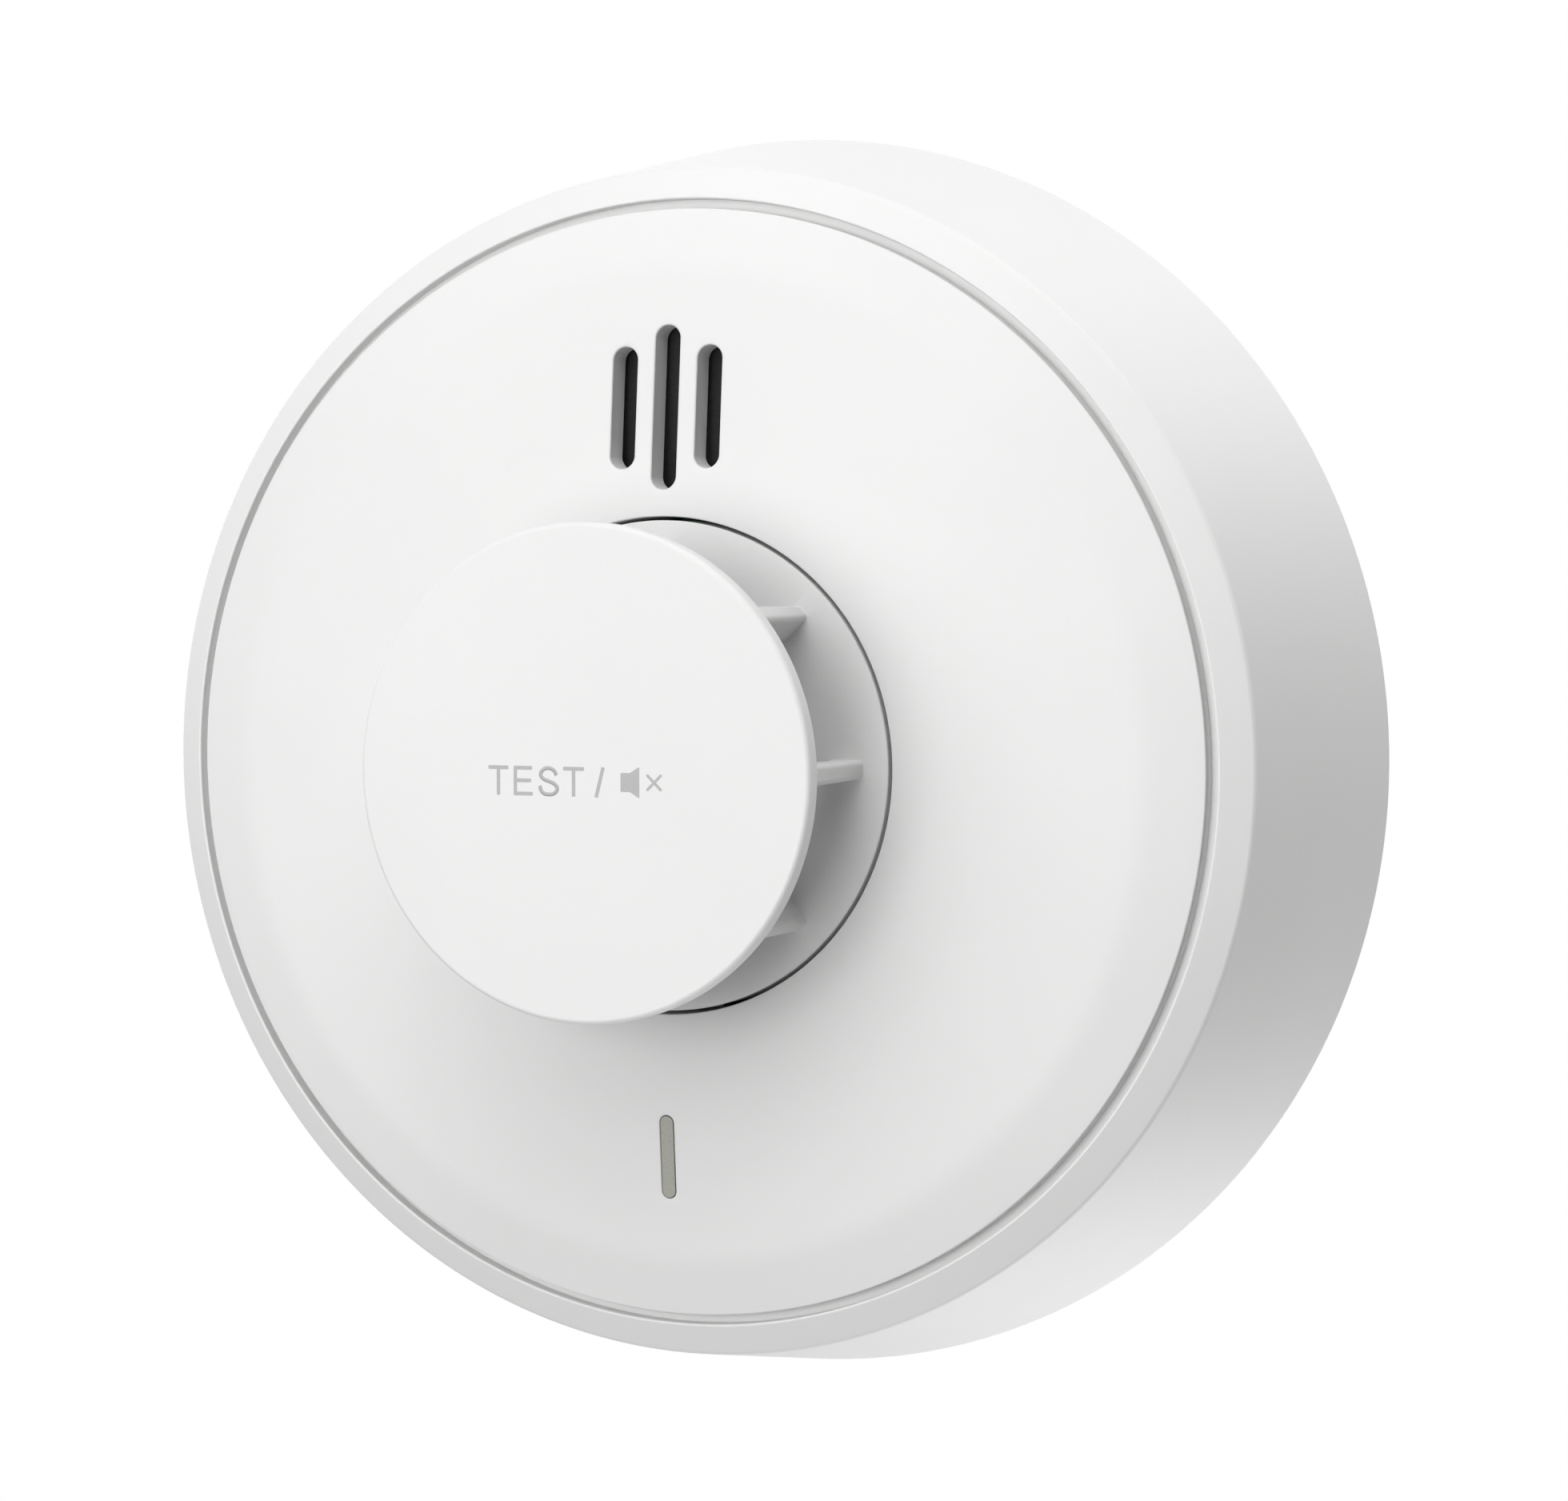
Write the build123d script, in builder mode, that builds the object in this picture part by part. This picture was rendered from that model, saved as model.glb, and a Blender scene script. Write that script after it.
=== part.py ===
"""Round optical smoke alarm for a wall or ceiling, in millimetres.

The wall is the plane Y = 0 and the alarm stands out of it along -Y, with +Z up. A height is a distance out of
the wall. The head twists off its mounting plate, and the whole hub in the middle of the cover is the button.
"""

from build123d import *
import os
from math import cos, radians, sin, sqrt

# Drum: a tapered wall, a chamfered front ring and the ledge that the cover sits on
drum_back_radius = 51.9
drum_draft = 4.3
drum_wall = 2.2
wall_gap = 0.5
shoulder_height = 22.2
lip_rise = 1.4
chamfer_width = 2.67
groove_width = 0.78
groove_depth = 1.2
ledge_thickness = 1.5
ledge_seat = 0.75
shoulder_round = 0.35
fit_gap = 0.3

# Front cover: a shallow crown, an outer band that falls faster and a bore for the hub
cover_wall = 2.2
cover_edge_rise = 1.4
band_rise = 1.2
band_width = 4.75
band_bulge = 0.04
crown_rise = 1.6
crown_sag = 0.05
cover_edge_round = 0.3
cover_skirt_wall = 1.7
cover_skirt_depth = 1.4
collar_wall = 1.5
snap_tab_angles = (0, 70, 110, 180, 250, 290)
snap_tab_width = 6.0
snap_tab_wall = 1.5
snap_hook_reach = 0.8
snap_hook_height = 0.8

# Sounder slots above the hub and light slot below it
slot_width = 2.15
slot_pitch = 3.7
slot_centre = 28.35
middle_slot_length = 13.0
side_slot_length = 9.7
light_slot_centre = 31.25
light_slot_length = 6.75
light_slot_width = 1.26
lens_gap = 0.08

# Hub: disc, vanes and flange, which move together
hub_radius = 19.42
hub_seam = 0.3
hub_wall = 1.3
flange_thickness = 2.2
flange_slope = 0.131
inlet_height = 12.7
cap_radius = 19.1
cap_thickness = 1.55
cap_top_round = 0.4
cap_bottom_round = 0.2
cap_spigot_wall = 1.2
cap_spigot_depth = 1.0
spigot_gap = 0.1
vane_count = 8
vane_thickness = 1.6
vane_outer_radius = 17.4
vane_edge_round = 0.5
vane_foot_round = 0.5
vane_inset = 0.6
vane_ring_wall = 1.4
vane_ring_height = 1.2
button_travel = 0.5
hub_hook_angles = (30, 150, 270)
hub_hook_width = 5.0
hub_hook_reach = 1.4
hub_hook_height = 1.2
touch_gap = 0.05

# Mounting plate and the bayonet between it and the head
plate_thickness = 2.0
plate_height = 5.5
plate_ring_wall = 1.6
plate_bore_radius = 15.0
plate_collar_wall = 1.2
plate_collar_height = 2.0
screw_spacing = 60.0
screw_slot_length = 9.0
screw_slot_width = 4.6
hook_count = 3
hook_first_angle = 20.0
plate_hook_span = 14.0
head_hook_span = 12.0
stop_span = 2.5
stop_clearance = 0.8
hook_reach = 2.2
plate_hook_thickness = 1.3
head_hook_thickness = 1.6
bayonet_gap = 0.5

# Rear cover
rear_thickness = 1.8
bayonet_wall = 1.7
rear_rim = 1.35
boss_radius = 2.8
boss_wall_gap = 0.25
boss_angles = (45, 135, 225, 315)
boss_rib = 1.6
screw_pad_radius = 3.6
screw_pad_height = 1.8
board_post_height = 7.8
board_post_radius = 2.6
board_screw_places = ((-14.0, 34.5), (-14.0, -34.5), (34.0, 12.0), (34.0, -12.0))

# Screws
housing_screw_head = 2.5
housing_screw_shank = 1.2
housing_screw_length = 10.0
board_screw_head = 2.2
board_screw_shank = 0.95
board_screw_length = 7.5
screw_head_height = 1.6
screw_gap = 0.05
head_recess_gap = 0.2
recess_width = 0.7
recess_depth = 0.9

# Battery: one 3 V lithium cell of 17 by 34.5 mm, welded to two nickel tabs
cell_radius = 8.5
cell_length = 34.5
cell_offset = 28.3
cell_nub_radius = 3.2
cell_nub_length = 1.0
cell_gap = 0.25
cell_end_gap = 0.6
bay_wall = 1.25
bay_floor = 1.3
bay_gap = 0.85
bay_corner = 2.0
clip_width = 6.0
clip_offset = 9.0
clip_height = 3.6
tab_thickness = 0.2
tab_height = 2.0
tab_rise = 0.4
tab_tongue = 1.4
tab_length = 13.6
tab_stand_out = 0.8

# Circuit board and what is soldered to it
board_margin = 1.1
board_thickness = 1.6
board_edge_gap = 0.7
board_hole_gap = 0.25
controller_size = 7.0
controller_height = 1.2
controller_place = (27.0, 0.0)
controller_leads = 8
lead_pitch = 0.8
lead_width = 0.35
lead_reach = 1.0
lead_height = 0.5
inductor_radius = 4.0
inductor_height = 4.4
inductor_place = (23.0, -20.0)
inductor_flange = 0.7
capacitor_radius = 3.1
capacitor_height = 4.6
capacitor_place = (22.0, 21.0)
capacitor_base = 1.0
chip_length = 1.6
chip_width = 0.8
chip_row_pitch = 3.2
chip_places = (33.0, 0.0)
chip_rows = 4

# Sounder: a brass disc with a ceramic wafer, in a round cup under the slots
sounder_centre = 31.0
sounder_disc_radius = 10.0
sounder_disc_thickness = 0.2
wafer_radius = 7.0
wafer_thickness = 0.2
cup_wall = 1.0
cup_gap = 0.1
cup_height = 3.0
cup_ledge_width = 0.9
cup_ledge_height = 1.0
gasket_thickness = 0.5
gauze_thickness = 0.3
gauze_gap = 0.1
contact_sheet = 0.2
contact_length = 3.5
contact_width = 1.5
contact_offset = 8.0

# Indicator: a chip light under a staked light pipe
indicator_length = 3.2
indicator_width = 1.6
indicator_height = 1.0
indicator_dome_radius = 0.6
pipe_gap = 0.3
pipe_flange_length = 13.0
pipe_flange_width = 3.2
pipe_flange_thickness = 1.0
pipe_tail_length = 5.0
pipe_tail_width = 2.2
stake_spacing = 9.2
stake_boss_radius = 1.5
stake_boss_height = 0.6
stake_radius = 0.6
stake_length = 1.6

# Optical chamber inside the hub
base_flange_radius = 17.6
base_flange_thickness = 1.5
pedestal_radius = 12.6
pedestal_wall = 1.5
chamber_drop = 0.6
screen_lip = 0.4
screen_lip_height = 1.0
screen_gap = 0.5
screen_wall = 0.2
screen_slot_count = 36
screen_slot_width = 1.0
screen_border = 1.0
chamber_lid = 1.2
chamber_headroom = 2.1
baffle_count = 12
baffle_inner_radius = 8.8
baffle_bend_radius = 10.45
baffle_outer_radius = 12.1
baffle_bend = 1.6
baffle_thickness = 1.0
optics_angles = (210, 330)
optics_radius = 1.5
optics_length = 4.4
optics_back_radius = 7.6
optics_rise = 3.0
optics_collar = 0.3
optics_collar_length = 0.8
optics_gap = 0.05
holder_wall = 1.0
wire_size = 0.45
wire_spacing = 2.54
wire_tail = 0.8
wire_gap = 0.2

# Switch and return springs
switch_size = 4.5
switch_height = 2.4
switch_offset = 15.4
switch_gap = 0.3
plunger_radius = 1.1
plunger_stand_out = 1.2
plunger_depth = 1.3
spring_circle = 15.8
spring_angles = (60, 180, 300)
spring_radius = 1.7
spring_wire = 0.3
spring_turns = 4
spring_pocket_depth = 0.5
spring_post_radius = 1.1

# Heights and radii that follow from the sizes above: first the shell
drum_front_radius = drum_back_radius - drum_draft
lip_radius = drum_front_radius - chamfer_width
lip_height = shoulder_height + lip_rise
ledge_height = lip_height - groove_depth
ledge_bottom = ledge_height - ledge_thickness
cover_radius = lip_radius - groove_width
ledge_radius = cover_radius - ledge_seat
band_radius = cover_radius - band_width
cover_edge_height = ledge_height + cover_edge_rise
band_height = cover_edge_height + band_rise
crown_height = band_height + crown_rise
hub_bore_radius = hub_radius + hub_seam
flange_bottom = crown_height - flange_thickness
cap_bottom = crown_height + inlet_height


def drum_inner_radius(height):
    """The inside radius of the tapered drum wall at this height."""
    taper = (drum_back_radius - drum_front_radius) / (shoulder_height - wall_gap)
    return drum_back_radius - drum_wall - taper * (height - wall_gap)


def crown_inner_height(radius):
    """The height of the inside of the front cover's crown at this radius."""
    share = (radius - hub_bore_radius) / (band_radius - hub_bore_radius)
    return crown_height - cover_wall - crown_rise * share


# Then what stacks up behind it, from the wall outwards
rear_bottom = plate_height + bayonet_gap
rear_top = rear_bottom + rear_thickness
board_bottom = rear_top + board_post_height
board_top = board_bottom + board_thickness
screw_pad_top = rear_top + screw_pad_height
housing_head_seat = rear_bottom + screw_head_height + head_recess_gap
plate_hook_bottom = plate_height - plate_hook_thickness
head_hook_top = plate_hook_bottom - fit_gap
head_hook_bottom = head_hook_top - head_hook_thickness
rear_radius = drum_inner_radius(rear_top) - fit_gap
bayonet_radius = rear_radius - rear_rim - bayonet_wall
plate_radius = bayonet_radius - bayonet_gap
plate_ring_radius = plate_radius - hook_reach
boss_pitch_radius = drum_inner_radius(ledge_bottom) - boss_radius - boss_wall_gap
board_radius = boss_pitch_radius - board_margin
cell_height = plate_thickness + bay_gap + bay_floor + cell_gap + cell_radius
bay_half_width = cell_radius + cell_gap + bay_wall
trough_half_width = sqrt((cell_radius + cell_gap) ** 2 - (cell_height - rear_bottom) ** 2) + bay_wall
bay_length = cell_length + 2 * (cell_end_gap + bay_wall)
board_edge = bay_half_width - cell_offset + board_edge_gap
cup_radius = sounder_disc_radius + cup_gap + cup_wall
cup_top = board_top + cup_height
duct_bottom = cup_top + gasket_thickness
collar_bottom = duct_bottom
chamber_floor = crown_height - chamber_drop
chamber_top = cap_bottom - chamber_headroom
base_flange_top = board_top + base_flange_thickness
screen_radius = pedestal_radius + screen_lip
flange_bore_radius = screen_radius + screen_gap
vane_inner_radius = flange_bore_radius + vane_inset
spring_seat = base_flange_top - spring_pocket_depth
plunger_top = board_top + switch_height + plunger_stand_out
indicator_top = board_top + indicator_height

OUTWARD = Axis((0, 0, 0), (0, -1, 0))


def level(height):
    """A plane parallel to the wall at this height: its x is +X, its y is +Z and it faces out of the wall."""
    return Plane.XZ.offset(height)


def section(angle=0.0):
    """A plane through the axis: its x is the radius, its y the height, turned from +X towards +Z."""
    turn = radians(angle)
    return Plane(origin=(0, 0, 0), x_dir=(cos(turn), 0, sin(turn)), z_dir=(sin(turn), 0, -cos(turn)))


def ring_profile(inner, outer, bottom, top):
    """A rectangle in the current section sketch, between two radii and two heights."""
    with Locations(((inner + outer) / 2, (bottom + top) / 2)):
        Rectangle(outer - inner, top - bottom)


def polar(radius, angle):
    """A point of a level sketch at this radius and angle."""
    return (radius * cos(radians(angle)), radius * sin(radians(angle)))


def finish(builder, name):
    """Labels a finished piece and writes it to its own file."""
    builder.part.label = name
    export_step(builder.part, f"parts/{name}.step")


os.makedirs("parts", exist_ok=True)

# ---------------------------------------------------------------- mounting plate

hook_root_radius = plate_ring_radius - plate_ring_wall / 2

with BuildPart() as mounting_plate:
    with BuildSketch(section()):
        ring_profile(plate_bore_radius, plate_radius, 0, plate_thickness)
        ring_profile(plate_ring_radius - plate_ring_wall, plate_ring_radius, 0, plate_height)
        ring_profile(
            plate_bore_radius,
            plate_bore_radius + plate_collar_wall,
            0,
            plate_thickness + plate_collar_height,
        )
    revolve(axis=OUTWARD)
    for number in range(hook_count):
        start = hook_first_angle + number * 360 / hook_count
        with BuildSketch(section(start)):
            ring_profile(hook_root_radius, plate_radius, plate_hook_bottom, plate_height)
        revolve(axis=OUTWARD, revolution_arc=plate_hook_span)
        with BuildSketch(section(start - stop_span)):
            ring_profile(hook_root_radius, plate_radius, 0, plate_height)
        revolve(axis=OUTWARD, revolution_arc=stop_span)
    with BuildSketch(level(0)):
        with GridLocations(0, screw_spacing, 1, 2):
            SlotOverall(screw_slot_length, screw_slot_width, rotation=90)
    extrude(amount=plate_thickness, mode=Mode.SUBTRACT)
finish(mounting_plate, "mounting_plate")

# ---------------------------------------------------------------- rear cover

with BuildPart() as rear_cover:
    with BuildSketch(section()):
        ring_profile(0, rear_radius, rear_bottom, rear_top)
        ring_profile(bayonet_radius, bayonet_radius + bayonet_wall, head_hook_bottom, rear_top)
    revolve(axis=OUTWARD)
    for number in range(hook_count):
        start = hook_first_angle + stop_clearance + number * 360 / hook_count
        with BuildSketch(section(start)):
            ring_profile(
                plate_ring_radius + fit_gap,
                bayonet_radius + bayonet_wall / 2,
                head_hook_bottom,
                head_hook_top,
            )
        revolve(axis=OUTWARD, revolution_arc=head_hook_span)
    # The battery bay hangs below the floor, into the open middle of the mounting plate
    with BuildSketch(level(plate_thickness + bay_gap)):
        with Locations((-cell_offset, 0)):
            RectangleRounded(2 * trough_half_width, bay_length, bay_corner)
    extrude(amount=rear_top - plate_thickness - bay_gap)
    with BuildSketch(level(rear_bottom)):
        with Locations((-cell_offset, 0)):
            RectangleRounded(2 * bay_half_width, bay_length, bay_corner)
    extrude(amount=cell_height - rear_bottom)
    with BuildSketch(level(cell_height)):
        with Locations((-cell_offset, clip_offset), (-cell_offset, -clip_offset)):
            Rectangle(2 * bay_half_width, clip_width)
    extrude(amount=clip_height)
    with Locations((-cell_offset, -cell_height, 0)):
        Cylinder(cell_radius + cell_gap, cell_length + 2 * cell_end_gap, mode=Mode.SUBTRACT)
    # Posts for the board, and pads for the screws that close the housing
    with BuildSketch(level(rear_top)):
        with Locations(*board_screw_places):
            Circle(board_post_radius)
    extrude(amount=board_post_height)
    with BuildSketch(level(rear_top)):
        with Locations(*[polar(boss_pitch_radius, angle) for angle in boss_angles]):
            Circle(screw_pad_radius)
    extrude(amount=screw_pad_height)
    with BuildSketch(level(rear_bottom)):
        with Locations(*[polar(boss_pitch_radius, angle) for angle in boss_angles]):
            Circle(housing_screw_head + head_recess_gap)
    extrude(amount=housing_head_seat - rear_bottom, mode=Mode.SUBTRACT)
    with BuildSketch(level(rear_bottom)):
        with Locations(*[polar(boss_pitch_radius, angle) for angle in boss_angles]):
            Circle(housing_screw_shank + board_hole_gap)
    extrude(amount=screw_pad_top - rear_bottom, mode=Mode.SUBTRACT)
    with BuildSketch(level(board_bottom)):
        with Locations(*board_screw_places):
            Circle(board_screw_shank + screw_gap)
    extrude(amount=-board_screw_length + board_thickness - head_recess_gap, mode=Mode.SUBTRACT)
finish(rear_cover, "rear_cover")

# ---------------------------------------------------------------- outer housing

with BuildPart() as outer_housing:
    with BuildSketch(section()):
        with BuildLine():
            Polyline(
                (drum_back_radius, wall_gap),
                (drum_front_radius, shoulder_height),
                (lip_radius, lip_height),
                (lip_radius, ledge_height),
                (ledge_radius, ledge_height),
                (ledge_radius, ledge_bottom),
                (drum_inner_radius(ledge_bottom), ledge_bottom),
                (drum_back_radius - drum_wall, wall_gap),
                close=True,
            )
        make_face()
    revolve(axis=OUTWARD)
    shoulder = outer_housing.edges().filter_by(GeomType.CIRCLE).sort_by(
        lambda edge: abs(edge.radius - drum_front_radius) + abs(edge.center().Y + shoulder_height)
    )[0]
    fillet(shoulder, shoulder_round)
    for angle in boss_angles:
        with BuildSketch(section(angle)):
            with BuildLine():
                Polyline(
                    (boss_pitch_radius, screw_pad_top),
                    (drum_inner_radius(screw_pad_top) + drum_wall / 4, screw_pad_top),
                    (drum_inner_radius(ledge_bottom) + drum_wall / 4, ledge_bottom),
                    (boss_pitch_radius, ledge_bottom),
                    close=True,
                )
            make_face()
        extrude(amount=boss_rib / 2, both=True)
    with BuildSketch(level(screw_pad_top)):
        with Locations(*[polar(boss_pitch_radius, angle) for angle in boss_angles]):
            Circle(boss_radius)
    extrude(amount=ledge_bottom - screw_pad_top)
    with BuildSketch(level(screw_pad_top)):
        with Locations(*[polar(boss_pitch_radius, angle) for angle in boss_angles]):
            Circle(housing_screw_shank + screw_gap)
    extrude(
        amount=housing_head_seat + housing_screw_length + head_recess_gap - screw_pad_top,
        mode=Mode.SUBTRACT,
    )
finish(outer_housing, "outer_housing")

# ---------------------------------------------------------------- front cover

pipe_flange_top = crown_inner_height(light_slot_centre) - stake_boss_height
snap_tab_outer = ledge_radius - fit_gap
snap_hook_top = ledge_bottom - fit_gap
snap_hook_bottom = snap_hook_top - snap_hook_height

# The space under the cover's outer surface, which trims what stands up inside it
with BuildPart() as cover_space:
    with BuildSketch(section()):
        with BuildLine():
            crown_line = ThreePointArc(
                (hub_bore_radius, crown_height),
                ((hub_bore_radius + band_radius) / 2, crown_height - crown_rise / 2 - crown_sag),
                (band_radius, band_height),
            )
            band_line = ThreePointArc(
                (band_radius, band_height),
                ((band_radius + cover_radius) / 2, (band_height + cover_edge_height) / 2 + band_bulge),
                (cover_radius, cover_edge_height),
            )
            Polyline(
                (cover_radius, cover_edge_height),
                (cover_radius, board_top),
                (0, board_top),
                (0, crown_height),
                (hub_bore_radius, crown_height),
            )
        make_face()
    revolve(axis=OUTWARD)

with BuildPart() as cover_ribs:
    with BuildSketch(level(duct_bottom)):
        with Locations((0, sounder_centre)):
            Circle(cup_radius)
            Circle(cup_radius - cup_wall, mode=Mode.SUBTRACT)
    extrude(amount=crown_height - cover_wall / 2 - duct_bottom)
    for angle in snap_tab_angles:
        with BuildSketch(section(angle)):
            with BuildLine():
                Polyline(
                    (snap_tab_outer - snap_tab_wall, snap_hook_bottom),
                    (snap_tab_outer, snap_hook_bottom),
                    (snap_tab_outer + fit_gap + snap_hook_reach, snap_hook_top - snap_hook_height / 4),
                    (snap_tab_outer + fit_gap + snap_hook_reach, snap_hook_top),
                    (snap_tab_outer, snap_hook_top),
                    (snap_tab_outer, cover_edge_height - cover_wall / 4),
                    (snap_tab_outer - snap_tab_wall, cover_edge_height - cover_wall / 4),
                    close=True,
                )
            make_face()
        extrude(amount=snap_tab_width / 2, both=True)
    with BuildSketch(level(pipe_flange_top)):
        with Locations((-stake_spacing / 2, -light_slot_centre), (stake_spacing / 2, -light_slot_centre)):
            Circle(stake_boss_radius)
    extrude(amount=stake_boss_height + cover_wall / 2)
    with BuildSketch(level(pipe_flange_top)):
        with Locations((-stake_spacing / 2, -light_slot_centre), (stake_spacing / 2, -light_slot_centre)):
            Circle(stake_radius)
    extrude(amount=-stake_length)
    add(cover_space.part, mode=Mode.INTERSECT)

with BuildPart() as front_cover:
    with BuildSketch(section()):
        with BuildLine():
            ThreePointArc(crown_line @ 0, crown_line @ 0.5, crown_line @ 1)
            ThreePointArc(band_line @ 0, band_line @ 0.5, band_line @ 1)
            Polyline(
                (cover_radius, cover_edge_height),
                (cover_radius, ledge_height),
                (ledge_radius - fit_gap, ledge_height),
                (ledge_radius - fit_gap, ledge_height - cover_skirt_depth),
                (ledge_radius - fit_gap - cover_skirt_wall, ledge_height - cover_skirt_depth),
                (ledge_radius - fit_gap - cover_skirt_wall, band_height - cover_wall),
                (band_radius, band_height - cover_wall),
                (hub_bore_radius + collar_wall, crown_inner_height(hub_bore_radius + collar_wall)),
                (hub_bore_radius + collar_wall, collar_bottom),
                (hub_bore_radius, collar_bottom),
                (hub_bore_radius, crown_height),
            )
        make_face()
    revolve(axis=OUTWARD)
    cover_edge = front_cover.edges().filter_by(GeomType.CIRCLE).sort_by(
        lambda edge: abs(edge.radius - cover_radius) + abs(edge.center().Y + cover_edge_height)
    )[0]
    fillet(cover_edge, cover_edge_round)
    add(cover_ribs.part)
    with Locations((0, -crown_height / 2, 0)):
        Cylinder(hub_bore_radius, crown_height, rotation=(90, 0, 0), mode=Mode.SUBTRACT)
    with BuildSketch(level(crown_height)):
        with Locations((0, slot_centre)):
            SlotOverall(middle_slot_length, slot_width, rotation=90)
        with Locations((-slot_pitch, slot_centre), (slot_pitch, slot_centre)):
            SlotOverall(side_slot_length, slot_width, rotation=90)
        with Locations((0, -light_slot_centre)):
            SlotOverall(light_slot_length, light_slot_width, rotation=90)
    extrude(amount=-crown_rise - band_rise - cover_wall, mode=Mode.SUBTRACT)
finish(front_cover, "front_cover")

# ---------------------------------------------------------------- hub: vane ring and cap

skirt_inner_radius = hub_radius - hub_wall
skirt_bottom = collar_bottom + fit_gap
hub_hook_top = collar_bottom - fit_gap
hub_hook_bottom = hub_hook_top - hub_hook_height
flange_top_at_bore = crown_height + flange_slope * (hub_radius - flange_bore_radius)
spring_post_bottom = base_flange_top + button_travel + fit_gap

with BuildPart() as vane_ring:
    with BuildSketch(section()):
        with BuildLine():
            Polyline(
                (flange_bore_radius, flange_bottom),
                (flange_bore_radius, flange_top_at_bore),
                (hub_radius, crown_height),
                (hub_radius, skirt_bottom),
                (skirt_inner_radius, skirt_bottom),
                (skirt_inner_radius, flange_bottom),
                close=True,
            )
        make_face()
    revolve(axis=OUTWARD)
    with BuildSketch(level(flange_bottom + flange_thickness / 2)):
        with PolarLocations((vane_inner_radius + vane_outer_radius) / 2, vane_count):
            RectangleRounded(vane_outer_radius - vane_inner_radius, vane_thickness, vane_edge_round)
    extrude(amount=cap_bottom - flange_bottom - flange_thickness / 2)
    vane_feet = vane_ring.edges().filter_by(
        lambda edge: flange_bore_radius + vane_inset / 2
        < sqrt(edge.center().X ** 2 + edge.center().Z ** 2)
        < vane_outer_radius + vane_thickness / 2
        and crown_height < -edge.center().Y < flange_top_at_bore
    )
    fillet(vane_feet, vane_foot_round)
    with BuildSketch(level(cap_bottom)):
        Circle(vane_inner_radius + vane_ring_wall)
        Circle(vane_inner_radius, mode=Mode.SUBTRACT)
    extrude(amount=-vane_ring_height)
    # Hooks under the collar keep the hub in, and posts centre the springs and press the switch
    for angle in hub_hook_angles:
        with BuildSketch(section(angle)):
            with BuildLine():
                Polyline(
                    (skirt_inner_radius, skirt_bottom + hub_wall),
                    (hub_radius - spigot_gap, skirt_bottom + hub_wall),
                    (hub_radius - spigot_gap, hub_hook_top),
                    (hub_radius + hub_hook_reach, hub_hook_top),
                    (hub_radius + hub_hook_reach, hub_hook_top - hub_hook_height / 2),
                    (hub_radius - spigot_gap, hub_hook_bottom),
                    (skirt_inner_radius, hub_hook_bottom),
                    close=True,
                )
            make_face()
        extrude(amount=hub_hook_width / 2, both=True)
    with BuildSketch(level(flange_bottom + flange_thickness / 2)):
        with Locations(*[polar(spring_circle, angle) for angle in spring_angles]):
            Circle(spring_post_radius)
    extrude(amount=spring_post_bottom - flange_bottom - flange_thickness / 2)
    with BuildSketch(level(flange_bottom + flange_thickness / 2)):
        with Locations((switch_offset, 0)):
            Circle(plunger_radius)
    extrude(amount=plunger_top + touch_gap - flange_bottom - flange_thickness / 2)
finish(vane_ring, "vane_ring")

with BuildPart() as button_cap:
    with BuildSketch(level(cap_bottom)):
        Circle(cap_radius)
    extrude(amount=cap_thickness)
    fillet(button_cap.faces().sort_by(Axis.Y)[0].edges(), cap_top_round)
    fillet(button_cap.faces().sort_by(Axis.Y)[-1].edges(), cap_bottom_round)
    with BuildSketch(level(cap_bottom)):
        Circle(vane_inner_radius - spigot_gap)
        Circle(vane_inner_radius - spigot_gap - cap_spigot_wall, mode=Mode.SUBTRACT)
    extrude(amount=-cap_spigot_depth)
finish(button_cap, "button_cap")

# ---------------------------------------------------------------- screws


def screw_group(places, seat, head_radius, shank_radius, length, head_side):
    """Pan-head screws with a cross recess; head_side is 1 for heads that face out of the wall, or -1."""
    with BuildPart() as screws:
        with BuildSketch(level(seat)):
            with Locations(*places):
                Circle(head_radius)
        extrude(amount=head_side * screw_head_height)
        with BuildSketch(level(seat)):
            with Locations(*places):
                Circle(shank_radius)
        extrude(amount=-head_side * length)
        head_end = screws.faces().sort_by(Axis.Y)[: len(places)]
        if head_side < 0:
            head_end = screws.faces().sort_by(Axis.Y)[-len(places) :]
        fillet(head_end.edges(), head_radius / 4)
        with BuildSketch(level(seat + head_side * screw_head_height)):
            with Locations(*places):
                Rectangle(head_radius, recess_width)
                Rectangle(recess_width, head_radius)
        extrude(amount=-head_side * recess_depth, mode=Mode.SUBTRACT)
    return screws


boss_places = [polar(boss_pitch_radius, angle) for angle in boss_angles]
housing_screws = screw_group(
    boss_places, housing_head_seat, housing_screw_head, housing_screw_shank, housing_screw_length, -1
)
finish(housing_screws, "housing_screws")
board_screws = screw_group(
    board_screw_places, board_top, board_screw_head, board_screw_shank, board_screw_length, 1
)
finish(board_screws, "board_screws")

# ---------------------------------------------------------------- battery

with BuildPart() as battery_cell:
    with Locations((-cell_offset, -cell_height, -cell_nub_length / 2)):
        Cylinder(cell_radius, cell_length - cell_nub_length)
    with Locations((-cell_offset, -cell_height, cell_length / 2 - cell_nub_length)):
        Cylinder(cell_nub_radius, 2 * cell_nub_length)
    with Locations((-cell_offset, -cell_height, cell_length / 2 + cell_nub_length / 2)):
        Cylinder(cell_nub_radius * 2, cell_nub_length, mode=Mode.SUBTRACT)
finish(battery_cell, "battery_cell")

tab_bottom = cell_height + tab_rise
tab_start = -cell_offset
tab_end = tab_start + tab_length

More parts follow.
